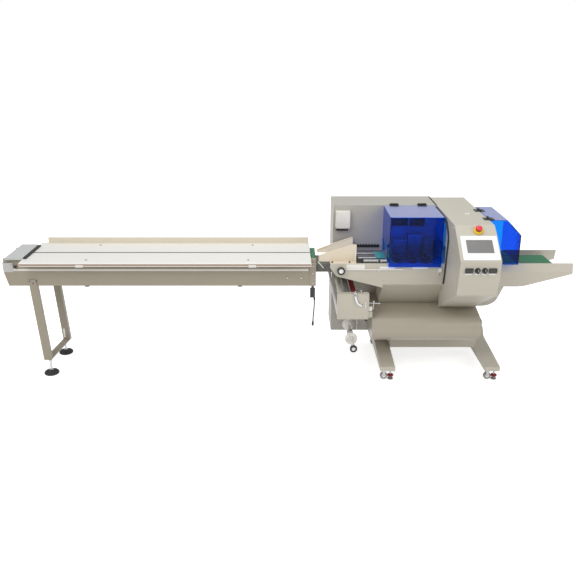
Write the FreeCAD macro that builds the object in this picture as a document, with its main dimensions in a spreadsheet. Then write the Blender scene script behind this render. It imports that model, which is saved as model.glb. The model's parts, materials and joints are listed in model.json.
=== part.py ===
import FreeCAD, Part
import math
import os
import re

import Sketcher

# A horizontal flow wrapper with a lower film reel, in millimetres.
#
# The long infeed conveyor lies on the left (-X), the wrapping machine on the right (+X), and the operator
# stands in front (-Y). +Z is up and the floor is Z = 0. The origin is on the floor, in the middle of the
# whole line.

SIZES = {
    # The line that the product travels along, and the infeed bed.
    "line_inset": 190,
    "bed_top": 838,
    "bed_left": -1730,
    "bed_right": 160,
    "bed_front_reach": 240,
    "bed_back_reach": 250,
    "bed_wall": 4,
    "bed_bend": 6,
    "bed_lip": 25,
    "slot_width": 16,
    "slot_fold": 14,
    "rail_height": 40,
    "rail_foot": 22,
    "rail_wall": 3,
    "rail_left": -1684,
    "rail_right": 155,
    # Infeed side channels.
    "channel_left": -1870,
    "channel_right": 195,
    "channel_half": 145,
    "channel_bottom": 650,
    "channel_bend": 770,
    "channel_lean": 12,
    "channel_wall": 4,
    "channel_flange": 22,
    "nose_height": 87,
    "nose_length": 23,
    # Infeed chain and what turns and carries it.
    "chain_width": 10,
    "chain_wall": 10,
    "chain_sink": 3,
    "sprocket_radius": 65,
    "sprocket_width": 8,
    "sprocket_left": -1789,
    "sprocket_right": 70,
    "sprocket_shaft": 20,
    "loop_clearance": 0.3,
    "tie_size": 25,
    "tie_left": -1410,
    "tie_pitch": 620,
    # Covers and brackets at the infeed's ends.
    "cover_left": -1850,
    "cover_half": 160,
    "cover_rise": 12,
    "cover_roll": 10,
    "cover_tunnel": 24,
    "end_bracket_left": -1875,
    "end_bracket_bottom": 746,
    "end_bracket_top": 809,
    "end_bracket_length": 70,
    "end_bracket_wall": 3,
    "head_left": 150,
    "head_wall": 8,
    "head_top": 796,
    "head_half": 129,
    "transfer_left": 162,
    "transfer_length": 33,
    "transfer_half": 110,
    "transfer_sink": 2,
    "transfer_round": 12,
    "post_length": 40,
    "post_top": 812,
    "post_wall": 4,
    "link_half": 105,
    "link_bottom": 735,
    "link_height": 52,
    # Infeed legs and feet.
    "leg_width": 50,
    "leg_depth": 35,
    "leg_web": 6,
    "leg_spacing": 344,
    "leg_skew": 32,
    "leg_top": 694,
    "leg_top_x": -1688.5,
    "leg_bottom": 117,
    "leg_bottom_x": -1648,
    "leg_bar": 8,
    "foot_x": -1636,
    "pad_diameter": 100,
    "pad_rim": 18,
    "stem_diameter": 16,
    # Sensor lead at the infeed's right end.
    "socket_left": 158,
    "socket_width": 33,
    "socket_height": 63,
    "socket_drop": 22,
    "socket_stem": 17,
    "socket_depth": 24,
    "lead_diameter": 8,
    "plug_diameter": 15,
    "plug_length": 42,
    # Machine frame.
    "frame_front": -108.666,
    "frame_depth": 345,
    "frame_left": 286,
    "frame_right": 1875,
    "frame_bottom": 660,
    "frame_bend": 760,
    "frame_top": 815,
    "frame_lean": 12,
    "frame_wall": 8,
    "frame_tail_rise": 87,
    "frame_tail_length": 322,
    "frame_tail_round": 250,
    "frame_nose_top": 788,
    "frame_nose_x": 327,
    "frame_nose_z": 731,
    "frame_belly_z": 652,
    "frame_nose_round": 18,
    "deck_left": 330,
    "deck_right": 1225,
    "deck_wall": 8,
    # Housings below the deck.
    "hull_left": 635,
    "hull_right": 1440,
    "hull_seam": 676,
    "hull_tail_bottom": 445,
    "hull_top": 735,
    "hull_bottom": 487,
    "hull_chin_y": 170,
    "hull_round": 80,
    "drum_left": 568,
    "drum_right": 1292,
    "drum_reach": 70,
    "drum_break": 150,
    "drum_crest": 440,
    "drum_bottom": 282,
    "drum_round": 80,
    # Base.
    "base_left": 635,
    "base_right": 1443,
    "base_foot_width": 100,
    "base_underside": 79,
    "base_tip_height": 31,
    "base_reach": 75,
    "base_length": 675,
    "base_knee": 362,
    "base_knee_z": 150,
    "base_rise": 408,
    "base_rise_end": 470,
    "beam_bottom": 131,
    "beam_depth": 80,
    "beam_front_inset": 206,
    "beam_back_inset": 390,
    "caster_inset": 45,
    "caster_plate": 70,
    "caster_plate_wall": 5,
    "caster_wheel": 50,
    "caster_wheel_width": 20,
    "caster_cheek": 4,
    "caster_lift": 2.5,
    "caster_axle": 10,
    "caster_wheel_offset": 20,
    "caster_pad": 40,
    "caster_pad_height": 10,
    "caster_pad_offset": 26,
    "caster_stem": 12,
    "thumb_width": 30,
    "thumb_height": 12,
    "thumb_low": 24,
    # Rear cabinet.
    "cabinet_left": 322,
    "cabinet_right": 1275,
    "cabinet_depth": 295,
    "cabinet_bottom": 206,
    "cabinet_top": 1128,
    "cabinet_shelf": 930,
    # Console.
    "console_left": 1031,
    "console_width": 246,
    "console_top": 1124,
    "console_back_inset": 620,
    "brow_reach": 180,
    "screen_top_reach": 254,
    "screen_top_z": 1077,
    "nose_reach": 405,
    "nose_z": 957,
    "sill_reach": 390,
    "sill_z": 820,
    "chin_reach": 370,
    "chin_z": 731,
    "chin_back": 100,
    "console_round": 14,
    "louvre_count": 5,
    "louvre_first": 240,
    "louvre_pitch": 50,
    "louvre_z": 935,
    "louvre_slant": 26,
    "louvre_width": 12,
    "louvre_height": 30,
    "louvre_depth": 4,
    # What the console carries.
    "panel_x": 1159,
    "bezel_width": 222,
    "bezel_margin": 8,
    "bezel_wall": 7,
    "bezel_round": 8,
    "glass_width": 160,
    "glass_low": 58,
    "glass_high": 38,
    "glass_wall": 4,
    "seat_clearance": 0.3,
    "stop_x": 1167,
    "stop_plate": 60,
    "stop_plate_wall": 12,
    "stop_bore": 11,
    "stop_stem": 10,
    "stop_head": 42,
    "stop_rise": 22,
    "stop_share": 0.4,
    "stop_head_gap": 6,
    "stop_head_height": 15,
    "control_z": 900,
    "meter_width": 48,
    "meter_height": 29,
    "meter_wall": 7,
    "meter_round": 3,
    "meter_left_x": 1087,
    "meter_pitch": 141,
    "knob_left_x": 1137,
    "knob_pitch": 43,
    "knob_diameter": 34,
    "knob_skirt": 6,
    "knob_grip": 9,
    "knob_height": 22,
    # Guards and their hinges.
    "guard_left": 665,
    "guard_seal_gap": 23,
    "guard_bottom": 795,
    "guard_side_bottom": 820,
    "guard_wall": 5,
    "guard_gap": 5,
    "running_gap": 5,
    "guard_overlap": 3.3,
    "guard_round": 8,
    "guard_mouth_half": 105,
    "guard_mouth_height": 95,
    "guard_mouth_round": 20,
    "tail_guard_flat": 113,
    "tail_guard_length": 209,
    "tail_guard_drop": 100,
    "tail_guard_bottom": 830,
    "tail_guard_reach": 60,
    "tail_guard_depth": 375,
    "tail_guard_round": 10,
    "hinge_length": 58,
    "hinge_leaf": 32,
    "hinge_leaf_wall": 4,
    "hinge_rise": 8,
    "hinge_knuckle": 14,
    "hinge_middle": 24,
    "hinge_pin": 6,
    "hinge_clearance": 0.3,
    "hinge_side_gap": 0.5,
    "front_hinge_inset": 70,
    "front_hinge_outset": 82,
    "tail_hinge_reach": 33.5,
    "tail_hinge_pitch": 234,
    # Outfeed belt.
    "belt_left": 1230,
    "belt_right": 1790,
    "belt_top": 788,
    "belt_wall": 3,
    "belt_half": 122,
    "belt_roller": 38,
    "belt_shaft": 16,
    "belt_bed_wall": 6,
    "belt_bed_inset": 30,
    # Forming box and film table.
    "former_left": 212,
    "former_right": 457,
    "former_wall": 3,
    "former_inset": 60,
    "former_height": 123,
    "former_tip": 50,
    "former_back_height": 95,
    "former_back_tip": 20,
    "former_nose": 22,
    "former_crest": 14,
    "former_flare": 14,
    "table_left": 476,
    "table_length": 183,
    "table_top": 830,
    "table_wall": 4,
    "table_strip": 78,
    "table_slot": 26,
    "fence_left": 506,
    "fence_length": 152,
    "fence_wall": 20,
    "fence_inset": 38,
    "fence_top": 834,
    # Fin-seal unit.
    "fin_left": 726,
    "fin_post_left": 830,
    "fin_post_width": 95,
    "fin_post_top": 945,
    "fin_right": 1002,
    "fin_side_top": 909,
    "fin_depth": 60,
    "fin_gap": 8,
    "fin_port": 34,
    "fin_port_shift": 17,
    "fin_port_depth": 20,
    "fin_port_z": 912,
    "fin_groove": 9,
    "fin_groove_pitch": 22,
    "fin_groove_low": 822,
    "fin_groove_depth": 8,
    "round_sides": 24,
    "wheel_diameter": 68,
    "wheel_wall": 12,
    "wheel_low": 790,
    "wheel_nip": 1.5,
    "wheel_nut": 16,
    "wheel_hub": 24,
    "wheel_first": 755,
    "wheel_pitch": 95,
    # Film reel, rollers and drive box.
    "roller_z": 605,
    "roller_first_x": 358,
    "roller_second_x": 405,
    "roller_third_x": 448,
    "roller_diameter": 34,
    "roller_bore": 12.6,
    "spindle": 12,
    "box_left": 335,
    "box_right": 542,
    "box_bottom": 451,
    "box_top": 629,
    "box_reach": 60,
    "box_depth": 40,
    "box_round": 5,
    "box_arm_height": 40,
    "box_arm_top": 500,
    "box_arm_inset": 12,
    "reel_x": 440,
    "reel_z": 280,
    "reel_reach": 160,
    "reel_tube": 25,
    "reel_hub": 62,
    "reel_hub_length": 30,
    "reel_clearance": 0.2,
    "collar": 42,
    "collar_length": 18,
    "collar_inset": 122,
    "cone_large": 84,
    "cone_small": 46,
    "cone_boss": 40,
    "cone_boss_length": 26,
    "cone_rim": 8,
    "cone_length": 30,
    "cone_reach": 12,
    "cone_back_inset": 300,
    "reel_nut": 49,
    "reel_nut_length": 14,
    "lever_bar": 6,
    "lever_length": 46,
    "screw_length": 46,
    "screw_z": 560,
    "screw_bar": 10,
    "screw_grip": 46,
    "wall_box_left": 337,
    "wall_box_width": 99,
    "wall_box_bottom": 974,
    "wall_box_height": 119,
    "wall_box_depth": 38,
    "wall_box_round": 6,
    "handwheel_x": 356,
    "handwheel_z": 774,
    "handwheel": 52,
    "handwheel_depth": 26,
    "handwheel_gap": 8,
    "handwheel_shaft": 14,
    "handwheel_bore": 14.8,
    # How far a cutting profile reaches past the piece that it cuts.
    "cut_margin": 6,
}

PLACES = {
    "frame_back": "frame_front + frame_depth",
    "frame_middle": "frame_front + frame_depth / 2",
    "line_y": "frame_front + line_inset",
    "chin_slope": "(hull_seam - hull_bottom) / hull_chin_y",
    "console_back": "frame_front + console_back_inset",
    "base_front": "frame_front - base_reach",
    "base_back": "frame_front - base_reach + base_length",
    "tail_guard_front": "frame_front - tail_guard_reach",
    "former_front": "frame_front + former_inset",
    "fin_y": "frame_front + frame_depth - frame_lean - frame_wall - seat_clearance - fin_depth",
    "box_front": "frame_front - box_reach",
    "reel_front": "frame_front - reel_reach",
    "plate_top": "bed_top - bed_wall",
    "channel_face": "frame_front + line_inset - channel_half",
    "sprocket_z": "bed_top - chain_sink - chain_wall - sprocket_radius",
    "bed_front": "frame_front + line_inset - bed_front_reach",
    "bed_back": "frame_front + line_inset + bed_back_reach",
    "console_right": "console_left + console_width",
    "brow_y": "frame_front - brow_reach",
    "screen_top_y": "frame_front - screen_top_reach",
    "nose_y": "frame_front - nose_reach",
    "screen_run": "hypot(nose_reach - screen_top_reach; screen_top_z - nose_z)",
    "sill_y": "frame_front - sill_reach",
    "guard_front": "frame_front - guard_overlap",
    "guard_back": "frame_front + frame_depth - guard_gap",
    "guard_top": "cabinet_top",
    "guard_length": "console_left - guard_seal_gap - guard_left",
    "tail_guard_left": "console_left + console_width + guard_gap",
    "belt_z": "belt_top - belt_wall - belt_roller / 2",
    "deck_bottom": "frame_bend - deck_wall",
    "box_back": "frame_front - box_reach + box_depth",
    "base_tip_top": "base_underside + base_tip_height",
    "tail_slope": "tail_guard_drop / (tail_guard_length - tail_guard_flat)",
    "drum_slope": "(hull_bottom - drum_crest) / (drum_break + drum_reach)",
}

V = FreeCAD.Vector
AXES = {"x": V(1, 0, 0), "y": V(0, 1, 0), "z": V(0, 0, 1)}
# For each sketch plane: the sign of its normal along the row axis that it faces.
PLANES = {"XY": 1, "XZ": -1, "YZ": 1}
WORD = re.compile(r"[a-z][a-z_]+")

doc = FreeCAD.newDocument("FlowWrapper")
parts = []


# ---------------------------------------------------------------- sizes and expressions

def formula(text):
    """A formula in which each size and place is written as a cell of its sheet."""
    def cell(word):
        name = word.group(0)
        return "Sizes." + name if name in SIZES else "Places." + name if name in PLACES else name
    return WORD.sub(cell, str(text))


def fill_sheet(name, cells):
    sheet = doc.addObject("Spreadsheet::Sheet", name)
    for row, (alias, content) in enumerate(cells.items(), 1):
        sheet.set(f"A{row}", alias)
        sheet.set(f"B{row}", content)
        sheet.setAlias(f"B{row}", alias)
    return sheet


sizes = fill_sheet("Sizes", {name: str(value) for name, value in SIZES.items()})
doc.recompute()
fill_sheet("Places", {name: "=" + formula(text) for name, text in PLACES.items()})
doc.recompute()


def number(text):
    """What a formula comes to."""
    return float(sizes.evalExpression(formula(text)))


# ---------------------------------------------------------------- sketches

def origin_part(body, role):
    return next(part for part in body.Origin.OriginFeatures if part.Role == role)


def sketch_on(body, plane, start="0", across="0", up="0"):
    """A sketch parallel to one of the body's planes, `start` along the row axis that the plane faces."""
    sketch = body.newObject("Sketcher::SketchObject", "Sketch")
    sketch.AttachmentSupport = [(origin_part(body, plane + "_Plane"), "")]
    sketch.MapMode = "FlatFace"
    sign = "" if PLANES[plane] > 0 else "-"
    sketch.setExpression("AttachmentOffset.Base.x", formula(across))
    sketch.setExpression("AttachmentOffset.Base.y", formula(up))
    sketch.setExpression("AttachmentOffset.Base.z", formula(f"{sign}({start})"))
    return sketch


def hold(sketch, kind, text, *ends):
    """A constraint whose value is a formula."""
    index = sketch.addConstraint(Sketcher.Constraint(kind, *ends, number(text)))
    name = f"size{index}"
    sketch.renameConstraint(index, name)
    sketch.setExpression("Constraints." + name, formula(text))


def pin_point(sketch, point, across, up):
    hold(sketch, "DistanceX", across, -1, 1, *point)
    hold(sketch, "DistanceY", up, -1, 1, *point)


def draw_loop(sketch, corners):
    """A closed outline of straight lines. A corner is (across, up) or (across, up, radius)."""
    points = [V(number(c[0]), number(c[1]), 0) for c in corners]
    count = len(corners)
    leave, arrive, arcs = [], [], {}
    for i, corner in enumerate(corners):
        back = (points[i - 1] - points[i]).normalize()
        ahead = (points[(i + 1) % count] - points[i]).normalize()
        if len(corner) == 2:
            arrive.append(points[i])
            leave.append(points[i])
            continue
        radius, half = number(corner[2]), back.getAngle(ahead) / 2
        arrive.append(points[i] + back * (radius / math.tan(half)))
        leave.append(points[i] + ahead * (radius / math.tan(half)))
        centre = points[i] + (back + ahead).normalize() * (radius / math.sin(half))
        arcs[i] = (centre, radius, back.cross(ahead).z < 0)
    lines = [sketch.addGeometry(Part.LineSegment(leave[i], arrive[(i + 1) % count])) for i in range(count)]
    for i, corner in enumerate(corners):
        before, after = lines[i - 1], lines[i]
        if i not in arcs:
            sketch.addConstraint(Sketcher.Constraint("Coincident", before, 2, after, 1))
            pin_point(sketch, (after, 1), corner[0], corner[1])
            continue
        centre, radius, left_turn = arcs[i]
        first, last = (arrive[i], leave[i]) if left_turn else (leave[i], arrive[i])
        begin = math.atan2(first.y - centre.y, first.x - centre.x)
        end = math.atan2(last.y - centre.y, last.x - centre.x)
        circle = Part.Circle(centre, V(0, 0, 1), radius)
        arc = sketch.addGeometry(Part.ArcOfCircle(circle, begin, end if end > begin else end + 2 * math.pi))
        near, far = (1, 2) if left_turn else (2, 1)
        sketch.addConstraint(Sketcher.Constraint("Tangent", before, 2, arc, near))
        sketch.addConstraint(Sketcher.Constraint("Tangent", arc, far, after, 1))
        hold(sketch, "Radius", corner[2], arc)
        point = sketch.addGeometry(Part.Point(points[i]), True)
        sketch.addConstraint(Sketcher.Constraint("PointOnObject", point, 1, before))
        sketch.addConstraint(Sketcher.Constraint("PointOnObject", point, 1, after))
        pin_point(sketch, (point, 1), corner[0], corner[1])


def draw_circle(sketch, across, up, diameter):
    centre = V(number(across), number(up), 0)
    circle = sketch.addGeometry(Part.Circle(centre, V(0, 0, 1), number(diameter) / 2))
    hold(sketch, "Radius", f"({diameter}) / 2", circle)
    pin_point(sketch, (circle, 3), across, up)


def draw(sketch, loops):
    for loop in loops:
        if loop[0] == "circle":
            draw_circle(sketch, *loop[1:])
        else:
            draw_loop(sketch, loop)


def rectangle(low_across, low_up, high_across, high_up, radius=None):
    corner = () if radius is None else (radius,)
    return [(low_across, low_up) + corner, (high_across, low_up) + corner,
            (high_across, high_up) + corner, (low_across, high_up) + corner]


# ---------------------------------------------------------------- solids

def keep(piece, label):
    """Marks a piece as one of the machine's own, to be written out under its label."""
    piece.Label = label
    parts.append(piece)
    return piece


def new_body(label=None):
    body = doc.addObject("PartDesign::Body", "Body")
    return keep(body, label) if label else body


def pad(body, plane, start, length, *loops):
    """Material from `start`, for `length` towards plus, inside the loops."""
    sketch = sketch_on(body, plane, start)
    draw(sketch, loops)
    feature = body.newObject("PartDesign::Pad", "Pad")
    feature.Profile = sketch
    feature.setExpression("Length", formula(length))
    feature.Reversed = PLANES[plane] < 0
    sketch.Visibility = False
    return feature


def cut(body, plane, start, length, *loops):
    """A pocket from `start`, for `length` towards plus. It is an error if it takes nothing away."""
    doc.recompute()
    before = body.Shape.Volume
    sketch = sketch_on(body, plane, start)
    draw(sketch, loops)
    feature = body.newObject("PartDesign::Pocket", "Pocket")
    feature.Profile = sketch
    feature.setExpression("Length", formula(length))
    feature.Reversed = PLANES[plane] > 0
    sketch.Visibility = False
    doc.recompute()
    if not body.Shape.Volume < before:
        raise ValueError(f"a pocket in {body.Label} cuts nothing")
    return feature


def repeat(body, feature, axis, length, count=2):
    """Copies of a feature, spread evenly over `length` along an axis."""
    doc.recompute()
    pattern = body.newObject("PartDesign::LinearPattern", "Pattern")
    pattern.Originals = feature if isinstance(feature, list) else [feature]
    pattern.Direction = (origin_part(body, axis + "_Axis"), [""])
    pattern.setExpression("Length", formula(length))
    pattern.setExpression("Occurrences", formula(count))
    body.Tip = pattern
    return pattern


def place(piece, x="0", y="0", z="0", turn=None, angle=None):
    if turn:
        piece.Placement = FreeCAD.Placement(V(), FreeCAD.Rotation(AXES[turn], 1))
        piece.setExpression("Placement.Rotation.Angle", formula(angle))
    for letter, text in zip("xyz", (x, y, z)):
        piece.setExpression("Placement.Base." + letter, formula(text))
    return piece


def rod(diameter, length, x, y, z, along="y", faceted=False):
    """A round bar that starts at x, y, z and runs towards plus. Small repeated ones are faceted."""
    piece = doc.addObject("Part::Prism" if faceted else "Part::Cylinder", "Rod")
    if faceted:
        piece.setExpression("Polygon", formula("round_sides"))
    piece.setExpression("Circumradius" if faceted else "Radius", formula(f"({diameter}) / 2"))
    piece.setExpression("Height", formula(length))
    turn, angle = {"x": ("y", "90"), "y": ("x", "-90"), "z": (None, None)}[along]
    return place(piece, x, y, z, turn, angle)


def taper(large, small, length, x, y, z):
    """A faceted cone that starts at x, y, z with its large end and runs towards plus Y."""
    rings = []
    for diameter, start in ((large, y), (small, f"{y} + {length}")):
        ring = doc.addObject("Part::RegularPolygon", "Ring")
        ring.setExpression("Polygon", formula("round_sides"))
        ring.setExpression("Circumradius", formula(f"({diameter}) / 2"))
        rings.append(place(ring, x, start, z, "x", "-90"))
    piece = doc.addObject("Part::Loft", "Taper")
    piece.Sections, piece.Solid, piece.Ruled = rings, True, True
    return piece


def block(x, y, z, length, depth, height):
    piece = doc.addObject("Part::Box", "Block")
    for name, text in (("Length", length), ("Width", depth), ("Height", height)):
        piece.setExpression(name, formula(text))
    return place(piece, x, y, z)


def fuse(pieces, label=None):
    piece = doc.addObject("Part::MultiFuse", "Fuse")
    piece.Shapes = pieces
    return keep(piece, label) if label else piece


def subtract(base, tool, label=None):
    piece = doc.addObject("Part::Cut", "Cut")
    piece.Base, piece.Tool = base, tool
    return keep(piece, label) if label else piece


def group(pieces, label):
    """Separate solids of one kind that share a label."""
    piece = doc.addObject("Part::Compound", "Group")
    piece.Links = pieces
    return keep(piece, label)


def mirror(source, axis, where, label=None):
    piece = doc.addObject("Part::Mirroring", "Mirror")
    piece.Source = source
    piece.Normal = AXES[axis]
    piece.setExpression("Base." + axis, formula(where))
    return keep(piece, label) if label else piece


# ---------------------------------------------------------------- infeed conveyor

def infeed_sides():
    """Folded side channels: an upright web whose upper band leans in under the bed, with two flanges."""
    face, top, wall = "channel_face", "plate_top", "channel_wall"
    body = new_body("infeed_side_front")
    pad(body, "YZ", "channel_left", "channel_right - channel_left", [
        (face, "channel_bottom"), (face, "channel_bend"),
        (f"{face} + channel_lean", top), (f"{face} + channel_lean + channel_flange", top),
        (f"{face} + channel_lean + channel_flange", f"{top} - {wall}"),
        (f"{face} + channel_lean + {wall}", f"{top} - {wall}"), (f"{face} + {wall}", "channel_bend"),
        (f"{face} + {wall}", f"channel_bottom + {wall}"),
        (f"{face} + channel_flange", f"channel_bottom + {wall}"), (f"{face} + channel_flange", "channel_bottom"),
    ])
    low, left = "channel_bottom - cut_margin", "channel_left - cut_margin"
    cut(body, "XZ", f"{face} - cut_margin", "channel_flange + 2 * cut_margin", [
        (left, "channel_bottom + nose_height"), (left, low), ("channel_left + nose_length", low),
        ("channel_left + nose_length", "channel_bottom"), ("channel_left", "channel_bottom + nose_height"),
    ])
    mirror(body, "y", "line_y", "infeed_side_back")


def bed_plates():
    """Two folded bed plates with the chain slot between them, and the guide rail on the back one."""
    length = "bed_right - bed_left"
    top, wall = "bed_top", "bed_wall"
    edge, slot = "bed_front", "line_y - slot_width / 2"
    pad(new_body("bed_plate_front"), "YZ", "bed_left", length, [
        (edge, top, "bed_bend"), (edge, f"{top} - bed_lip"), (f"{edge} + {wall}", f"{top} - bed_lip"),
        (f"{edge} + {wall}", f"{top} - {wall}"), (f"{slot} - {wall}", f"{top} - {wall}"),
        (f"{slot} - {wall}", f"{top} - slot_fold"), (slot, f"{top} - slot_fold"), (slot, top),
    ])
    edge, slot = "bed_back", "line_y + slot_width / 2"
    pad(new_body("bed_plate_back"), "YZ", "bed_left", length, [
        (slot, top), (slot, f"{top} - slot_fold"), (f"{slot} + {wall}", f"{top} - slot_fold"),
        (f"{slot} + {wall}", f"{top} - {wall}"), (f"{edge} - {wall}", f"{top} - {wall}"),
        (f"{edge} - {wall}", f"{top} - bed_lip"), (edge, f"{top} - bed_lip"), (edge, top, "bed_bend"),
    ])
    back = "bed_back - bed_bend"
    pad(new_body("bed_guide_rail"), "YZ", "rail_left", "rail_right - rail_left", [
        (f"{back} - rail_foot", top), (back, top), (back, f"{top} + rail_height"),
        (f"{back} - rail_wall", f"{top} + rail_height"), (f"{back} - rail_wall", f"{top} + rail_wall"),
        (f"{back} - rail_foot", f"{top} + rail_wall"),
    ])


def infeed_chain():
    """The chain loop in the slot, and the sprockets, shafts and ties between the side channels."""
    reach = "(sprocket_radius + chain_wall)"
    loops = []
    for size in (reach, "sprocket_radius"):
        loops.append(rectangle(f"sprocket_left - {size}", f"sprocket_z - {size}",
                               f"sprocket_right + {size}", f"sprocket_z + {size}", f"{size} * 0.999"))
    pad(new_body("infeed_chain"), "XZ", "line_y - chain_width / 2", "chain_width", *loops)
    shafts = []
    inner = "(channel_half - channel_wall)"
    for x in ("sprocket_left", "sprocket_right"):
        wheel = rod("2 * (sprocket_radius - loop_clearance)", "sprocket_width", x,
                    "line_y - sprocket_width / 2", "sprocket_z")
        shaft = block(f"{x} - sprocket_shaft / 2", f"line_y - {inner}", "sprocket_z - sprocket_shaft / 2",
                      "sprocket_shaft", f"2 * {inner}", "sprocket_shaft")
        shafts.append(fuse([wheel, shaft]))
    group(shafts, "infeed_sprockets")
    ties = new_body("infeed_ties")
    low = "channel_bottom + channel_wall"
    tie = pad(ties, "XZ", f"line_y - {inner}", f"2 * {inner}",
              rectangle("tie_left", low, "tie_left + tie_size", f"{low} + tie_size"))
    repeat(ties, tie, "X", "2 * tie_pitch", 3)


def infeed_ends():
    """The end cover over the left sprocket, the bracket round that end, and the right-hand end."""
    cover = new_body("infeed_end_cover")
    top = "bed_top + cover_rise"
    pad(cover, "XZ", "line_y - cover_half", "2 * cover_half", [
        ("cover_left", "plate_top"), ("bed_left", "plate_top"), ("bed_left", top, "cover_roll"),
        ("cover_left", top, "cover_roll"),
    ])
    cut(cover, "YZ", "cover_left + channel_wall", "bed_left - cover_left",
        rectangle("line_y - cover_tunnel", "plate_top - cut_margin", "line_y + cover_tunnel",
                  f"{top} - channel_wall"))
    wall, right = "end_bracket_wall", "end_bracket_left + end_bracket_length"
    bracket = new_body()
    outer = f"(channel_half + {wall})"
    pad(bracket, "XY", "end_bracket_bottom", "end_bracket_top - end_bracket_bottom", [
        ("end_bracket_left", f"line_y - {outer}", "cover_roll"), (right, f"line_y - {outer}"),
        (right, "line_y - channel_half"), ("channel_left", "line_y - channel_half"),
        ("channel_left", "line_y + channel_half"), (right, "line_y + channel_half"),
        (right, f"line_y + {outer}"), ("end_bracket_left", f"line_y + {outer}", "cover_roll"),
    ])
    post = new_body()
    pad(post, "XZ", "channel_face - post_wall", "post_wall",
        rectangle("channel_right - post_length", "channel_bottom", "channel_right", "post_top"))
    group([bracket, post], "infeed_end_brackets")
    low = "channel_bottom + channel_wall"
    link = new_body("link_bracket")
    pad(link, "XZ", "line_y - head_half", "2 * head_half", [
        ("head_left", low), ("head_left + head_wall", low), ("head_left + head_wall", "head_top - head_wall"),
        ("channel_right", "head_top - head_wall"), ("channel_right", "head_top"), ("head_left", "head_top"),
    ])
    pad(link, "YZ", "head_left", "deck_left - head_left",
        rectangle("line_y - link_half", "link_bottom", "line_y + link_half", "link_bottom + link_height"))
    pad(new_body("transfer_belt"), "XZ", "line_y - transfer_half", "2 * transfer_half",
        rectangle("transfer_left", "head_top", "transfer_left + transfer_length", "bed_top - transfer_sink",
                  "transfer_round"))


def skewed(width, left_low, left_high, low, high):
    """A four-sided outline whose two ends, of one width, lie at different places across."""
    return [(left_low, low), (f"{left_low} + {width}", low), (f"{left_high} + {width}", high), (left_high, high)]


def infeed_legs():
    """A welded frame of two leaning channels and two flat bars, on two levelling feet."""
    front = "channel_face - leg_web"
    bottom, top = "leg_bottom_x - leg_width / 2", "leg_top_x - leg_width / 2"
    under = f"{top} + (leg_bottom_x - leg_top_x) * (leg_top - channel_bottom) / (leg_top - leg_bottom)"
    leg = new_body()
    pad(leg, "XZ", front, "leg_web", skewed("leg_width", bottom, top, "leg_bottom", "leg_top"))
    pad(leg, "XZ", front, "leg_depth",
        skewed("leg_width", bottom, under, "leg_bottom", "channel_bottom - leg_bar"))
    back = new_body()
    pad(back, "XZ", f"{front} + leg_spacing", "leg_depth",
        skewed("leg_width", f"{bottom} + leg_skew", f"{under} + leg_skew", "leg_bottom",
               "channel_bottom - leg_bar"))
    pieces = [leg, back]
    for left, height in ((bottom, "leg_bottom - leg_bar"), (under, "channel_bottom - leg_bar")):
        bar = new_body()
        pad(bar, "XY", height, "leg_bar", skewed("leg_width", left, f"{left} + leg_skew", front,
                                                 f"{front} + leg_spacing + leg_depth"))
        pieces.append(bar)
    fuse(pieces, "infeed_leg_frame")
    feet = []
    for y in (f"{front} + leg_depth / 2", f"{front} + leg_depth / 2 + leg_spacing"):
        feet.append(fuse([
            rod("pad_diameter", "pad_rim", "foot_x", y, "0", "z", True),
            rod("stem_diameter", "leg_bottom - leg_bar", "foot_x", y, "0", "z", True),
        ]))
    group(feet, "infeed_feet")


LEAD_POINTS = [(187, -58.5, 0), (187, -58.5, -52), (185, -57.2, -92), (181, -56.4, -132), (179.5, -56, -168)]


def rounded_path(points):
    """A wire of straight runs joined by arcs that touch them: each as large as its two runs allow."""
    edges, start, radii = [], points[0], []
    for before, corner, after in zip(points, points[1:], points[2:]):
        back, ahead = before - corner, after - corner
        shorter, turn = min(back.Length, ahead.Length), math.pi - back.getAngle(ahead)
        radii.append(0.45 * shorter / math.tan(turn / 2))
        back.normalize()
        ahead.normalize()
        enter, leave = corner + back * (0.45 * shorter), corner + ahead * (0.45 * shorter)
        inward = (back + ahead).normalize()
        sagitta = radii[-1] * (1 / math.cos(turn / 2) - 1)
        edges += [Part.LineSegment(start, enter), Part.Arc(enter, corner + inward * sagitta, leave)]
        start = leave
    edges.append(Part.LineSegment(start, points[-1]))
    return Part.Wire([edge.toShape() for edge in edges]), radii


def sensor_lead():
    """The sensor's socket under the infeed's right end, its hanging lead and the plug on the lead."""
    low = "channel_bottom - socket_drop - socket_height"
    shoulder = "channel_bottom - socket_drop"
    middle = "socket_left + socket_width / 2"
    socket = new_body("sensor_socket")
    pad(socket, "XZ", "channel_face + end_bracket_wall", "socket_depth", [
        ("socket_left", low), ("socket_left + socket_width", low), ("socket_left + socket_width", shoulder),
        (f"{middle} + socket_stem / 2", shoulder), (f"{middle} + socket_stem / 2", "channel_bottom"),
        (f"{middle} - socket_stem / 2", "channel_bottom"), (f"{middle} - socket_stem / 2", shoulder),
        ("socket_left", shoulder),
    ])
    base = number(low)
    points = [V(x, y, base + z) for x, y, z in LEAD_POINTS]
    path, radii = rounded_path(points)
    print("lead bend radii:", [round(radius) for radius in radii])
    diameter = number("lead_diameter")
    ring = Part.Wire([Part.Circle(points[0], V(0, 0, -1), diameter / 2).toShape()])
    tube = path.makePipeShell([ring], True, False)
    section = math.pi * diameter ** 2 / 4
    if abs(tube.Volume / (section * path.Length) - 1) > 0.01:
        raise ValueError("the lead's volume is not its section times its length")
    lead = doc.addObject("Part::Feature", "Lead")
    lead.Shape = tube
    keep(lead, "sensor_lead")
    end, heading = points[-1], (points[-1] - points[-2]).normalize()
    plug = new_body("sensor_plug")
    pad(plug, "XY", "0", "plug_length", ("circle", "0", "0", "plug_diameter"))
    plug.Placement = FreeCAD.Placement(end, FreeCAD.Rotation(V(0, 0, 1), heading))


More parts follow.
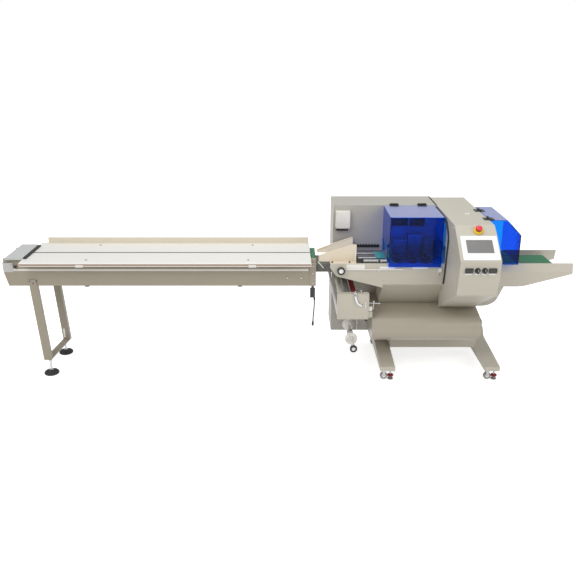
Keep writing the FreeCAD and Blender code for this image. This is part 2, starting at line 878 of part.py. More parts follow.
# ---------------------------------------------------------------- machine frame and housings

def side_plates():
    """Two long side plates, bent in along the top, shaped in outline at both ends, with roller bores."""
    face, wall = "frame_front", "frame_wall"
    body = new_body("side_plate_front")
    pad(body, "YZ", "frame_left", "frame_right - frame_left", [
        (face, "frame_belly_z"), (face, "frame_bend"), (f"{face} + frame_lean", "frame_top"),
        (f"{face} + frame_lean + {wall}", "frame_top"), (f"{face} + {wall}", "frame_bend"),
        (f"{face} + {wall}", "frame_belly_z"),
    ])
    start, depth = f"{face} - cut_margin", "frame_lean + frame_wall + 2 * cut_margin"
    left, low = "frame_left - cut_margin", "frame_belly_z - cut_margin"
    cut(body, "XZ", start, depth, [
        (left, "frame_nose_top"), (left, low), ("hull_left", low), ("hull_left", "frame_belly_z"),
        ("frame_nose_x", "frame_nose_z", "frame_nose_round"), ("frame_left", "frame_nose_top"),
    ])
    cut(body, "XZ", start, depth, rectangle("hull_left", low, "console_right", "hull_seam"))
    right = "frame_right + cut_margin"
    cut(body, "XZ", start, depth, [
        ("console_right", "frame_bottom"), ("console_right", low), (right, low),
        (right, "frame_bottom + frame_tail_rise"), ("frame_right", "frame_bottom + frame_tail_rise"),
        ("frame_right - frame_tail_length", "frame_bottom", "frame_tail_round"),
    ])
    cut(body, "XZ", start, depth, ("circle", "handwheel_x", "handwheel_z", "handwheel_bore"))
    mirror(body, "y", "frame_middle", "side_plate_back")
    deck = new_body("deck_plates")
    front, back = f"{face} + {wall}", f"frame_back - {wall}"
    pad(deck, "XY", "deck_bottom", "deck_wall", rectangle("deck_left", front, "deck_right", back))
    pad(deck, "XY", "frame_bend - belt_bed_wall", "belt_bed_wall",
        rectangle("belt_left + belt_roller + belt_bed_inset", front, "belt_right - belt_roller - belt_bed_inset",
                  back))


def lower_housings():
    """The hull between the side plates, with its slanting chin, and the rounded drum housing below it."""
    hull = new_body("lower_housing")
    inner = "frame_front + frame_wall"
    pad(hull, "YZ", "hull_left", "hull_right - hull_left", [
        (inner, "hull_top"), (inner, "hull_seam - frame_wall * chin_slope"),
        ("frame_front + hull_chin_y", "hull_bottom"),
        ("frame_back - frame_wall", "hull_bottom"), ("frame_back - frame_wall", "hull_top"),
    ])
    edge = "drum_right + running_gap"
    chin = "frame_front + hull_chin_y + (hull_bottom - hull_tail_bottom) / chin_slope"
    pad(hull, "YZ", edge, f"hull_right - ({edge})", [
        ("frame_front + hull_chin_y", "hull_bottom"), (chin, "hull_tail_bottom"),
        ("frame_back - frame_wall", "hull_tail_bottom"), ("frame_back - frame_wall", "hull_bottom"),
    ])
    right, low = "hull_right + cut_margin", "hull_tail_bottom - cut_margin"
    cut(hull, "XZ", f"{inner} - cut_margin", "frame_depth + 2 * cut_margin", [
        ("hull_right", "hull_top"), ("hull_right", "hull_tail_bottom", "hull_round"),
        ("hull_right - hull_round - cut_margin", "hull_tail_bottom"), ("hull_right - hull_round - cut_margin", low),
        (right, low), (right, "hull_top"),
    ])
    drum = new_body("drum_housing")
    face = "frame_front - drum_reach"
    pad(drum, "YZ", "drum_left", "drum_right - drum_left", [
        ("frame_back", "hull_bottom"), ("frame_front + drum_break", "hull_bottom"),
        (face, "drum_crest", "drum_round"), (face, "drum_bottom", "drum_round"),
        ("frame_back", "drum_bottom"),
    ])


def base_frame():
    """Two foot beams that run from front to back, and two cross beams between them."""
    pieces = []
    for left in ("base_left", "base_right - base_foot_width"):
        pieces.append(new_body())
        pad(pieces[-1], "YZ", left, "base_foot_width", [
            ("base_front", "base_underside"), ("base_front", "base_tip_top"),
            ("frame_front + base_knee", "base_knee_z"), ("frame_front + base_rise", "cabinet_bottom"),
            ("frame_front + base_rise_end", "cabinet_bottom"),
            ("base_back", "base_tip_top"), ("base_back", "base_underside"),
        ])
    inside = "base_left + base_foot_width"
    span = "base_right - base_left - 2 * base_foot_width"
    for inset, top in (("beam_front_inset", "drum_bottom"), ("beam_back_inset", "cabinet_bottom")):
        y = f"frame_front + {inset}"
        pieces.append(new_body())
        pad(pieces[-1], "YZ", inside, span, rectangle(y, "beam_bottom", f"{y} + beam_depth", top))
    fuse(pieces, "base_frame")


def levelling_casters():
    """Four casters: each has a wheel in a fork and a screw-down pad beside it, with a thumbwheel."""
    frames, wheels, pads = [], [], []
    under = "base_underside - caster_plate_wall"
    for x in ("base_left + base_foot_width / 2", "base_right - base_foot_width / 2"):
        for y in ("base_front + caster_inset", "base_back - caster_inset"):
            hub_z = "caster_wheel / 2 + caster_lift"
            hub_x = f"{x} - caster_wheel_offset"
            fork = [block(f"{x} - caster_plate / 2", f"{y} - caster_plate / 2", under, "caster_plate",
                          "caster_plate", "caster_plate_wall")]
            for side in (f"{y} - caster_wheel_width / 2 - caster_cheek", f"{y} + caster_wheel_width / 2"):
                fork.append(block(f"{hub_x} - caster_axle", side, f"{hub_z} - caster_axle", "2 * caster_axle",
                                  "caster_cheek", f"{under} - ({hub_z} - caster_axle)"))
            frames.append(fuse(fork))
            wheels.append(rod("caster_wheel", "caster_wheel_width", hub_x, f"{y} - caster_wheel_width / 2",
                              hub_z, "y", True))
            pad_x = f"{x} + caster_pad_offset"
            stem = block(f"{pad_x} - caster_stem / 2", f"{y} - caster_stem / 2", "0", "caster_stem",
                         "caster_stem", under)
            thumb = block(f"{pad_x} - thumb_width / 2", f"{y} - thumb_width / 2", "thumb_low", "thumb_width",
                          "thumb_width", "thumb_height")
            disc = rod("caster_pad", "caster_pad_height", pad_x, y, "0", "z", True)
            pads.append(fuse([disc, stem, thumb]))
    group(frames, "caster_forks")
    group(wheels, "caster_wheels")
    group(pads, "caster_pads")


def rear_cabinet():
    """The tall cabinet behind the film path, with a lower shelf that the console stands on."""
    edge = "console_left"
    pad(new_body("rear_cabinet"), "XZ", "frame_back", "cabinet_depth", [
        ("cabinet_left", "cabinet_bottom"), ("cabinet_right", "cabinet_bottom"),
        ("cabinet_right", "cabinet_shelf"), (edge, "cabinet_shelf"), (edge, "cabinet_top"),
        ("cabinet_left", "cabinet_top"),
    ])
    pad(new_body("wall_box"), "XZ", "frame_back - wall_box_depth", "wall_box_depth",
        rectangle("wall_box_left", "wall_box_bottom", "wall_box_left + wall_box_width",
                  "wall_box_bottom + wall_box_height", "wall_box_round"))


# ---------------------------------------------------------------- console

def console():
    """The arched console: it bridges the film path and carries the controls on its faceted front."""
    body = new_body("console")
    chin = "hull_bottom - (drum_break - chin_back) * drum_slope"
    pad(body, "YZ", "console_left", "console_width", [
        ("console_back", "console_top"), ("brow_y", "console_top", "console_round"),
        ("screen_top_y", "screen_top_z", "console_round"), ("nose_y", "nose_z", "console_round"),
        ("sill_y", "sill_z", "console_round"), ("frame_front - chin_reach", "chin_z", "console_round"),
        ("frame_front + chin_back", chin),
        ("frame_front + chin_back", "hull_bottom + (hull_chin_y - chin_back) * chin_slope"),
        ("frame_front", "hull_seam"),
        ("frame_front", "cabinet_shelf"), ("console_back", "cabinet_shelf"),
    ])
    for index in range(SIZES["louvre_count"]):
        y = f"frame_front - louvre_first + louvre_first / 2 - {index} * louvre_pitch"
        cut(body, "YZ", "console_left", "louvre_depth", [
            (y, "louvre_z"), (f"{y} + louvre_slant", "louvre_z + louvre_height"),
            (f"{y} + louvre_slant + louvre_width", "louvre_z + louvre_height"), (f"{y} + louvre_width", "louvre_z"),
        ])


def on_face(piece, x, low, high, share="0.5"):
    """Seats a piece on the console's face between two corners of its outline, `share` of the way up it."""
    (low_y, low_z), (high_y, high_z) = low, high
    angle = f"atan2({high_z} - {low_z}; {high_y} - {low_y})"
    return place(piece, x, f"{low_y} + ({high_y} - {low_y}) * {share}",
                 f"{low_z} + ({high_z} - {low_z}) * {share}", "x", angle)


BROW_FACE = (("screen_top_y", "screen_top_z"), ("brow_y", "console_top"))
SCREEN_FACE = (("nose_y", "nose_z"), ("screen_top_y", "screen_top_z"))
CONTROL_FACE = (("sill_y", "sill_z"), ("nose_y", "nose_z"))
CONTROL_SHARE = "(control_z - sill_z) / (nose_z - sill_z)"


def centred(width, height, radius=None):
    return rectangle(f"-({width}) / 2", f"-({height}) / 2", f"({width}) / 2", f"({height}) / 2", radius)


def console_fittings():
    """Touch screen in its bezel, emergency stop, meters and selector knobs, each on its facet."""
    bezel = new_body("screen_bezel")
    low, high = "glass_low - screen_run / 2", "screen_run / 2 - glass_high"
    half, room = "glass_width / 2", "seat_clearance"
    pad(bezel, "XY", "0", "bezel_wall", centred("bezel_width", "screen_run - 2 * bezel_margin", "bezel_round"),
        rectangle(f"-({half}) - {room}", f"{low} - {room}", f"{half} + {room}", f"{high} + {room}"))
    on_face(bezel, "panel_x", *SCREEN_FACE)
    glass = new_body("touch_screen")
    pad(glass, "XY", "0", "glass_wall", rectangle(f"-({half})", low, half, high))
    on_face(glass, "panel_x", *SCREEN_FACE)

    base = new_body("stop_button_base")
    pad(base, "XY", "0", "stop_plate_wall", ("circle", "0", "0", "stop_plate"),
        centred("stop_bore", "stop_bore"))
    on_face(base, "stop_x", *BROW_FACE, "stop_share")
    button = new_body("stop_button")
    pad(button, "XY", "stop_head_gap", "stop_rise", centred("stop_stem", "stop_stem"))
    pad(button, "XY", "stop_rise", "stop_head_height", ("circle", "0", "0", "stop_head"))
    on_face(button, "stop_x", *BROW_FACE, "stop_share")

    meters = new_body("panel_meters")
    meter = pad(meters, "XY", "0", "meter_wall", centred("meter_width", "meter_height", "meter_round"))
    repeat(meters, meter, "X", "meter_pitch")
    on_face(meters, "meter_left_x", *CONTROL_FACE, CONTROL_SHARE)
    for label, x in (("selector_knob_left", "knob_left_x"), ("selector_knob_right", "knob_left_x + knob_pitch")):
        knob = new_body(label)
        pad(knob, "XY", "seat_clearance", "knob_skirt", ("circle", "0", "0", "knob_diameter"))
        pad(knob, "XY", "seat_clearance", "knob_height",
            centred("knob_grip", "knob_diameter - 2"))
        on_face(knob, x, *CONTROL_FACE, CONTROL_SHARE)


# ---------------------------------------------------------------- guards

def hinge_half(middle, pitch):
    """Two hinge halves in a row along X: the middle knuckle's, or the outer knuckles' with the pin."""
    side = "-1" if middle else "1"
    leaf_top, knuckle = "-hinge_rise + hinge_leaf_wall", "hinge_knuckle / 2"
    chamfer = "hinge_knuckle * 0.29"
    body = new_body()
    profile = [
        (f"{side} * hinge_leaf", "-hinge_rise"), (f"{side} * hinge_leaf", leaf_top),
        (f"{side} * {knuckle}", leaf_top), (f"{side} * {knuckle}", f"{knuckle} - {chamfer}"),
        (f"{side} * ({knuckle} - {chamfer})", knuckle), (f"-{side} * ({knuckle} - {chamfer})", knuckle),
        (f"-{side} * {knuckle}", f"{knuckle} - {chamfer}"), (f"-{side} * {knuckle}", f"-{knuckle} + {chamfer}"),
        (f"-{side} * ({knuckle} - {chamfer})", f"-{knuckle}"),
        (f"{side} * ({knuckle} + 1)", f"-{knuckle}"), (f"{side} * ({knuckle} + 1)", "-hinge_rise"),
    ]
    half = "hinge_length / 2"
    steps = [pad(body, "YZ", f"-{half}", "hinge_length", profile)]
    reach = "hinge_knuckle / 2 + hinge_side_gap + 1"
    if middle:
        inner = "hinge_middle / 2 - hinge_side_gap"
        for start in (f"-{half} - 1", inner):
            steps.append(cut(body, "YZ", start, f"{half} + 1 - ({inner})",
                             rectangle(f"-({reach})", f"-({reach})", reach, reach)))
        steps.append(cut(body, "YZ", f"-{half}", "hinge_length",
                         ("circle", "0", "0", "hinge_pin + 2 * hinge_clearance")))
    else:
        steps.append(cut(body, "YZ", "-hinge_middle / 2", "hinge_middle",
                         rectangle(f"-({reach})", f"-({reach})", reach, reach)))
        steps.append(pad(body, "YZ", f"-{half}", "hinge_length", ("circle", "0", "0", "hinge_pin")))
    repeat(body, steps, "X", pitch)
    return body


def guards():
    """The two hinged guards of blue sheet, and the hinges on the cabinet's and the console's top."""
    top, wall = "guard_top", "guard_wall"
    front, back, low = "guard_front", "guard_back", "guard_side_bottom"
    hood = new_body("front_guard")
    pad(hood, "YZ", "guard_left", "guard_length", [
        (back, top), (front, top, "guard_round"), (front, "guard_bottom"), (f"{front} + {wall}", "guard_bottom"),
        (f"{front} + {wall}", f"{top} - {wall}", f"guard_round - {wall}"), (back, f"{top} - {wall}"),
    ])
    mouth = "guard_mouth_half"
    pad(hood, "YZ", "guard_left", wall, [
        (back, top), (front, top, "guard_round"), (front, low), (f"line_y - {mouth}", low),
        (f"line_y - {mouth}", f"{low} + guard_mouth_height", "guard_mouth_round"),
        (f"line_y + {mouth}", f"{low} + guard_mouth_height", "guard_mouth_round"),
        (f"line_y + {mouth}", low), (back, low),
    ])
    tail = new_body("outfeed_guard")
    left, right = "tail_guard_left", "tail_guard_left + tail_guard_length"
    bend, high = f"{left} + tail_guard_flat", "console_top"
    knee = f"{high} - tail_guard_drop"
    pad(tail, "XZ", "tail_guard_front", "tail_guard_depth", [
        (left, high), (left, f"{high} - {wall}"),
        (f"{bend} - {wall} * tan(atan(tail_slope) / 2)", f"{high} - {wall}"),
        (f"{right} - {wall}", f"{knee} - {wall} * tan(atan(1 / tail_slope) / 2)"),
        (f"{right} - {wall}", "tail_guard_bottom"), (right, "tail_guard_bottom"),
        (right, knee, "tail_guard_round"), (bend, high, "tail_guard_round"),
    ])
    pad(tail, "XZ", "tail_guard_front", wall, [
        (left, high), (left, "tail_guard_bottom"), (right, "tail_guard_bottom"),
        (right, knee, "tail_guard_round"), (bend, high, "tail_guard_round"),
    ])
    halves = []
    for middle in (False, True):
        front = hinge_half(middle, "guard_length - front_hinge_inset - front_hinge_outset")
        place(front, "guard_left + front_hinge_inset", "frame_back - guard_gap / 2", "cabinet_top + hinge_rise")
        back = hinge_half(middle, "tail_hinge_pitch")
        place(back, "console_right + guard_gap / 2", "frame_front - tail_hinge_reach",
              "console_top + hinge_rise", "z", "90")
        halves += [front, back]
    group(halves[:2], "hinge_bases")
    keep(halves[2], "front_hinge_leaves")
    keep(halves[3], "outfeed_hinge_leaves")


# ---------------------------------------------------------------- outfeed and film path

def outfeed():
    """The outfeed belt's loop and its two rollers."""
    loops = []
    for size in ("(belt_roller / 2 + belt_wall)", "(belt_roller / 2)"):
        edge = "(belt_roller / 2 + belt_wall)"
        loops.append(rectangle(f"belt_left + {edge} - {size}", f"belt_z - {size}",
                               f"belt_right - {edge} + {size}", f"belt_z + {size}", f"{size} * 0.999"))
    pad(new_body("outfeed_belt"), "XZ", "frame_middle - belt_half", "2 * belt_half", *loops)
    lean = "frame_lean * (belt_z + belt_shaft / 2 - frame_bend) / (frame_top - frame_bend)"
    reach = f"frame_depth / 2 - frame_wall - {lean}"
    rollers = []
    for x in ("belt_left + belt_roller / 2 + belt_wall", "belt_right - belt_roller / 2 - belt_wall"):
        drum = rod("belt_roller - 2 * loop_clearance", "2 * belt_half", x, "frame_middle - belt_half", "belt_z")
        shaft = block(f"{x} - belt_shaft / 2", f"frame_middle - ({reach})", "belt_z - belt_shaft / 2",
                      "belt_shaft", f"2 * ({reach})", "belt_shaft")
        rollers.append(fuse([drum, shaft]))
    group(rollers, "outfeed_rollers")


def forming_box():
    """The folding box: two flared wings on foot flanges that rest on the side plates."""
    halves = []
    for height, tip in (("former_height", "former_tip"), ("former_back_height", "former_back_tip")):
        wing = new_body()
        pad(wing, "XZ", "0", "former_wall", [
            ("former_left", "0"), ("former_right", "0"), ("former_right", height),
            ("former_right - former_crest", height), ("former_left + former_nose", tip),
            ("former_left", f"{tip} - former_nose / 2"),
        ])
        place(wing, "0", "former_front", "frame_top + former_wall", "x", "former_flare")
        foot = block("frame_left", "frame_front + frame_lean", "frame_top", "former_right - frame_left",
                     "former_front - frame_front - frame_lean + former_wall", "former_wall")
        tongue = block("former_left", "former_front", "frame_top", "frame_left - former_left",
                       "former_wall * 6", "former_wall")
        halves.append(fuse([wing, foot, tongue]))
    group([halves[0], mirror(halves[1], "y", "frame_middle")], "forming_box")


def film_table():
    """Two folded table strips with the fin's slot between them, and the fence block in front."""
    table = new_body("film_table")
    wall, height = "table_wall", "table_top - frame_bend"
    y = "line_y - table_slot / 2 - table_strip"
    strip = pad(table, "YZ", "table_left", "table_length", [
        (y, "frame_bend"), (f"{y} + {wall}", "frame_bend"), (f"{y} + {wall}", f"table_top - {wall}"),
        (f"{y} + table_strip - {wall}", f"table_top - {wall}"), (f"{y} + table_strip - {wall}", "frame_bend"),
        (f"{y} + table_strip", "frame_bend"), (f"{y} + table_strip", "table_top", "bed_bend"),
        (y, "table_top", "bed_bend"),
    ])
    repeat(table, strip, "Y", "table_strip + table_slot")
    pad(table, "YZ", "fence_left", "fence_length",
        rectangle("frame_front + fence_inset", "frame_bend", "frame_front + fence_inset + fence_wall",
                  "fence_top"))


def fin_seal_unit():
    """The fin-seal unit: a post with a round port, two grooved heater blocks and three pairs of wheels."""
    post = new_body()
    pad(post, "XZ", "fin_y", "fin_depth",
        rectangle("fin_post_left", "frame_bend", "fin_post_left + fin_post_width", "fin_post_top"))
    cut(post, "XZ", "fin_y", "fin_port_depth",
        ("circle", "fin_post_left + fin_post_width / 2 - fin_port_shift", "fin_port_z", "fin_port"))
    blocks = []
    for left, right in (("fin_left", "fin_post_left - fin_gap"),
                        ("fin_post_left + fin_post_width + fin_gap", "fin_right")):
        body = new_body()
        pad(body, "XZ", "fin_y", "fin_depth", rectangle(left, "frame_bend", right, "fin_side_top"))
        groove = cut(body, "XZ", "fin_y", "fin_groove_depth",
                     rectangle(f"{left} + fin_groove", "fin_groove_low", f"{right} - fin_groove",
                               "fin_groove_low + fin_groove"))
        repeat(body, groove, "Z", "3 * fin_groove_pitch", 4)
        blocks.append(body)
    group([post] + blocks, "fin_seal_heads")
    wheels = []
    for index in range(3):
        for side in ("-", "+"):
            x = f"wheel_first + {index} * wheel_pitch"
            y = f"line_y {side} (wheel_diameter / 2 + wheel_nip)"
            disc = rod("wheel_diameter", "wheel_wall", x, y, "wheel_low", "z", True)
            hub = block(f"{x} - wheel_hub / 2", f"{y} - wheel_hub / 2", "frame_bend", "wheel_hub", "wheel_hub",
                        "wheel_low - frame_bend")
            nut = block(f"{x} - wheel_nut / 2", f"{y} - wheel_nut / 2", "wheel_low", "wheel_nut", "wheel_nut",
                        "2 * wheel_wall")
            wheels.append(fuse([disc, hub, nut]))
    group(wheels, "fin_seal_wheels")


def film_rollers():
    """Three film rollers on fixed spindles between the cabinet and the drive box."""
    spindles = []
    for label, x in (("film_roller_left", "roller_first_x"), ("film_roller_middle", "roller_second_x"),
                     ("film_roller_right", "roller_third_x")):
        length = "frame_back - box_back"
        spindles.append(rod("spindle", length, x, "box_back", "roller_z", "y", True))
        sleeve = new_body(label)
        pad(sleeve, "XZ", "box_back + running_gap", "frame_back - box_back - 2 * running_gap",
            ("circle", x, "roller_z", "roller_diameter"), ("circle", x, "roller_z", "roller_bore"))
    group(spindles, "film_spindles")


def drive_box():
    """The film drive box in front of the rollers, its arm to the drum housing and its clamp screw."""
    box = new_body("film_drive_box")
    pad(box, "XZ", "box_front", "box_depth",
        rectangle("box_left", "box_bottom", "box_right", "box_top", "box_round"))
    pad(box, "XZ", "box_front + box_arm_inset", "box_depth - box_arm_inset",
        rectangle("box_right - box_arm_height", "box_arm_top - box_arm_height", "drum_left", "box_arm_top"))
    half = "screw_bar / 2"
    screw = block("box_right", f"box_front + box_depth / 2 - {half}", f"screw_z - {half}", "screw_length",
                  "screw_bar", "screw_bar")
    grip = block("box_right + screw_length", f"box_front + box_depth / 2 - {half}", "screw_z - screw_grip / 2",
                 "screw_bar", "screw_bar", "screw_grip")
    fuse([screw, grip], "clamp_screw")


def film_reel():
    """The film reel's shaft in its hub on the cabinet, with two cones, a clamp lever and an end nut."""
    x, z = "reel_x", "reel_z"
    hub = new_body("reel_hub")
    half = "reel_hub / 2"
    pad(hub, "XZ", "frame_back - reel_hub_length", "reel_hub_length",
        rectangle(f"{x} - {half}", f"{z} - {half}", f"{x} + {half}", f"{z} + {half}"),
        ("circle", x, z, "reel_tube + 2 * reel_clearance"))
    tube = rod("reel_tube", "frame_back - reel_front - running_gap", x, "reel_front", z)
    nut = rod("reel_nut", "reel_nut_length", x, "reel_front", z, "y", True)
    collar = rod("collar", "collar_length", x, "frame_front + collar_inset", z, "y", True)
    lever = block(x, "frame_front + collar_inset + (collar_length - lever_bar) / 2", "reel_z - lever_bar / 2",
                  "lever_length", "lever_bar", "lever_bar")
    fuse([tube, nut, collar, lever], "reel_shaft")
    start, bore = "frame_front - cone_reach", "(reel_tube + 2 * reel_clearance) / cos(180 deg / round_sides)"
    rim = f"{start} + cone_boss_length"
    cone = subtract(
        fuse([
            rod("cone_boss", "cone_boss_length", x, start, z, "y", True),
            rod("cone_large", "cone_rim", x, rim, z, "y", True),
            taper("cone_large", "cone_small", "cone_length", x, f"{rim} + cone_rim", z),
        ]),
        rod(bore, "cone_boss_length + cone_rim + cone_length", x, start, z, "y", True),
    )
    group([cone, mirror(cone, "y", "frame_front + (cone_back_inset - cone_reach) / 2")], "reel_cones")


def handwheel():
    """The small handwheel outside the front plate, on a shaft through both plates."""
    x, z = "handwheel_x", "handwheel_z"
    front = "frame_front - handwheel_gap - handwheel_depth"
    wheel = rod("handwheel", "handwheel_depth", x, front, z)
    shaft = rod("handwheel_shaft", f"frame_back - ({front}) - running_gap", x, front, z)
    fuse([wheel, shaft], "handwheel")


# ---------------------------------------------------------------- build, check and write

def check_document():
    doc.recompute()
    for item in doc.Objects:
        if "Invalid" in item.State or "Error" in item.State:
            raise ValueError(f"{item.Label} ({item.Name}) failed: {item.State}")
    for piece in parts:
        shape = piece.Shape
        if shape.isNull() or not shape.isValid() or not shape.Solids:
            raise ValueError(f"{piece.Label} has no valid solid")


def write_parts():
    os.makedirs("parts", exist_ok=True)
    for piece in parts:
        piece.Shape.exportStep(f"parts/{piece.Label}.step")


for build in (infeed_sides, bed_plates, infeed_chain, infeed_ends, infeed_legs, sensor_lead, side_plates,
              lower_housings, base_frame, levelling_casters, rear_cabinet, console, console_fittings, guards,
              outfeed, forming_box, film_table, fin_seal_unit, film_rollers, drive_box, film_reel, handwheel):
    build()
check_document()
write_parts()
print(len(parts), "parts,", sum(len(piece.Shape.Solids) for piece in parts), "solids")
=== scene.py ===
# %% [markdown]
# # A horizontal flow wrapper
#
# This notebook dresses a packed CAD model of a flow wrapper: a packing machine that pulls film up from a reel,
# folds it into a tube round the products, seals it and carries the wrapped products out on a belt. The CAD
# model gives every rigid part at its real size. Here they get their finishes, and the small things that a
# camera sees: screws, trims, knobs, handles and the hanging sensor lead.
#
# All lengths are metres. +X runs along the line from infeed to outfeed, the operator stands at -Y, and the
# floor is Z = 0.

# %% Load the frame
import json
import math

import bmesh
import bpy
import numpy as np
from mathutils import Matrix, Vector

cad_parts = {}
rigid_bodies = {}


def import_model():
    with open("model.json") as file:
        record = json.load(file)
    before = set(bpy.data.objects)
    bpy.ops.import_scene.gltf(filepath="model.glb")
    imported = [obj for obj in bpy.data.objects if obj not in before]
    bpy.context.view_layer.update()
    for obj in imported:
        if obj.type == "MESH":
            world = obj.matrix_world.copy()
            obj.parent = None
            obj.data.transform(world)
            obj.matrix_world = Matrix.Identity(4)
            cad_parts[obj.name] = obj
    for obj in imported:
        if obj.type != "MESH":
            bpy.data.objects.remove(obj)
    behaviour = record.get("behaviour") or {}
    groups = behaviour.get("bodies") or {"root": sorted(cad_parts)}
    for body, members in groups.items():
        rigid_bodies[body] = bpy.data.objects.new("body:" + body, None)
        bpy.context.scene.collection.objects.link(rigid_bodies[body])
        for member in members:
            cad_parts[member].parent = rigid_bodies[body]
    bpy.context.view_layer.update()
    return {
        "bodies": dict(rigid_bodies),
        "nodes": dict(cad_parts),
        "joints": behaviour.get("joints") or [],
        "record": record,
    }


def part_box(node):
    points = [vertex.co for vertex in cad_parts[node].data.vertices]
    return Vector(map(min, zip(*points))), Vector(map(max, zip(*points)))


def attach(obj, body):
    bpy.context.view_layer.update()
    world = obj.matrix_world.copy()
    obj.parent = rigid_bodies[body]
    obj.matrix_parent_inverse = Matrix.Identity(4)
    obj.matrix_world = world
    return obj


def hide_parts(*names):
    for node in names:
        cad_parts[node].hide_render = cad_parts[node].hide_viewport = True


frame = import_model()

NODES = frame["nodes"]
MM = 0.001

# %% [markdown]
# ## Camera
#
# The camera stands in front of the middle of the line, above head height, and looks down a little. The lens
# is a normal one. A small shift keeps the line in the middle of the picture.

# %% Set up the camera
CAMERA_PLACE = (-0.010, -4.522, 2.206)
CAMERA_DIP = math.radians(19.42)
CAMERA_LENS = 44.3

camera_data = bpy.data.cameras.new("camera")
camera_data.lens = CAMERA_LENS
camera_data.shift_x = 0.0052
camera = bpy.data.objects.new("camera", camera_data)
camera.location = CAMERA_PLACE
camera.rotation_euler = (math.pi / 2 - CAMERA_DIP, 0, 0)
bpy.context.scene.collection.objects.link(camera)
bpy.context.scene.camera = camera
print("camera at", CAMERA_PLACE, "looking down", round(math.degrees(CAMERA_DIP), 1), "degrees")

# %% [markdown]
# ## The sensor lead
#
# A black lead hangs from the sensor socket under the infeed's right end. It is one smooth curve: a NURBS
# spline bends towards its control points without touching them, as a hanging lead does.

# %% Hang the lead
LEAD_POINTS = [(0.187, -0.0585, 0.565), (0.187, -0.0585, 0.513), (0.185, -0.0572, 0.473),
               (0.181, -0.0564, 0.433), (0.1795, -0.056, 0.397)]
LEAD_DIAMETER = 8 * MM


def hanging_lead(name, points, diameter):
    """A round lead on a smooth spline."""
    curve = bpy.data.curves.new(name, "CURVE")
    curve.dimensions = "3D"
    spline = curve.splines.new("NURBS")
    spline.points.add(len(points) - 1)
    for point, place in zip(spline.points, points):
        point.co = (*place, 1)
    spline.use_endpoint_u = True
    spline.order_u = 3
    spline.resolution_u = 16
    curve.bevel_depth = diameter / 2
    curve.bevel_resolution = 5
    curve.use_fill_caps = True
    lead = bpy.data.objects.new(name, curve)
    bpy.context.scene.collection.objects.link(lead)
    return lead


lead = hanging_lead("lead", LEAD_POINTS, LEAD_DIAMETER)

# %% [markdown]
# ## Shader maths as Python
#
# A finish is a small program of nodes. Written out node by node it is hard to read, so a `Wire` wraps an
# output socket and overloads the operators: `1 - mask` or `noise * 0.2 + 0.5` add the Math nodes by
# themselves. Every other node comes from `Finish.node`.

# %% Wire and Finish
class Wire:
    """An output socket. An operator on it adds one Math node."""

    def __init__(self, finish, socket):
        self.finish, self.socket = finish, socket

    def math(self, operation, *values):
        return self.finish.node("Math", {"operation": operation}, dict(enumerate(values)))

    def __add__(self, other):
        return self.math("ADD", self, other)

    def __sub__(self, other):
        return self.math("SUBTRACT", self, other)

    def __rsub__(self, other):
        return self.math("SUBTRACT", other, self)

    def __mul__(self, other):
        return self.math("MULTIPLY", self, other)

    def __gt__(self, other):
        return self.math("GREATER_THAN", self, other)

    def wave(self, period):
        """A sine wave from 0 to 1 along the value."""
        return self.math("SINE", self * (2 * math.pi / period)) * 0.5 + 0.5

    __radd__ = __add__
    __rmul__ = __mul__


class Finish:
    """A material under construction, with the helpers that its recipe is written in."""

    def __init__(self, name, **plain):
        """`plain` holds the shader's values that are the same all over the surface."""
        self.material = bpy.data.materials.new(name)
        self.material.use_nodes = True
        self.tree = self.material.node_tree
        self.shader = self.tree.nodes["Principled BSDF"]
        for socket, value in plain.items():
            self.shader.inputs[socket.replace("_", " ")].default_value = value
        self.place = self.node("TexCoord", output="Object")

    def node(self, kind, settings={}, inputs={}, output=0):
        """Adds a node: first its settings, then the values or links of its sockets."""
        node = self.tree.nodes.new("ShaderNode" + kind)
        for name, value in settings.items():
            setattr(node, name, value)
        for socket, value in inputs.items():
            if isinstance(value, Wire):
                self.tree.links.new(value.socket, node.inputs[socket])
            elif value is not None:
                node.inputs[socket].default_value = value
        return Wire(self, node.outputs[output])

    def axis(self, letter):
        """The X, Y or Z of the place on the surface, in metres."""
        return self.node("SeparateXYZ", {}, {0: self.place}, output="XYZ".index(letter))

    def noise(self, scale, detail=2.0, stretch=(1, 1, 1)):
        """Soft random values from 0 to 1. `scale` is how many features there are in a metre."""
        place = self.node("Mapping", {}, {"Vector": self.place, "Scale": stretch})
        return self.node("TexNoise", {}, {"Vector": place, "Scale": scale, "Detail": detail})

    def mix(self, factor, first, second):
        """Colours blended by a factor from 0 to 1."""
        first, second = (c if isinstance(c, Wire) else (*c, 1) for c in (first, second))
        return self.node("Mix", {"data_type": "RGBA"}, {0: factor, 6: first, 7: second}, output=2)

    def bump(self, height, distance, strength=0.5):
        """A height, from 0 to 1, that stands `distance` metres proud."""
        return self.node("Bump", {}, {"Strength": strength, "Distance": distance, "Height": height})

    def feed(self, **links):
        """Links what changes over the surface to the shader, and gives the finished material."""
        for socket, wire in links.items():
            self.tree.links.new(wire.socket, self.shader.inputs[socket.replace("_", " ")])
        return self.material

    def surface(self, shader):
        """Sends another shader than the main one to the output."""
        self.tree.links.new(shader.socket, self.tree.nodes["Material Output"].inputs["Surface"])
        return self.material


print("operators:", [name for name in vars(Wire) if name.startswith("__")])

# %% [markdown]
# ## Finishes
#
# Powder coat is the finish that this machine shows most of. It is matt and a little bumpy, like the skin of
# an orange, and its colour is never quite even. Bare steel has fine lines from the grinding belt. Both are
# recipes, so that each part can have them in its own colour.

# %% Recipes for paint, metal, plastic, rubber, belt, chain and clear sheet
def darker(colour, share):
    return tuple(c * share for c in colour)


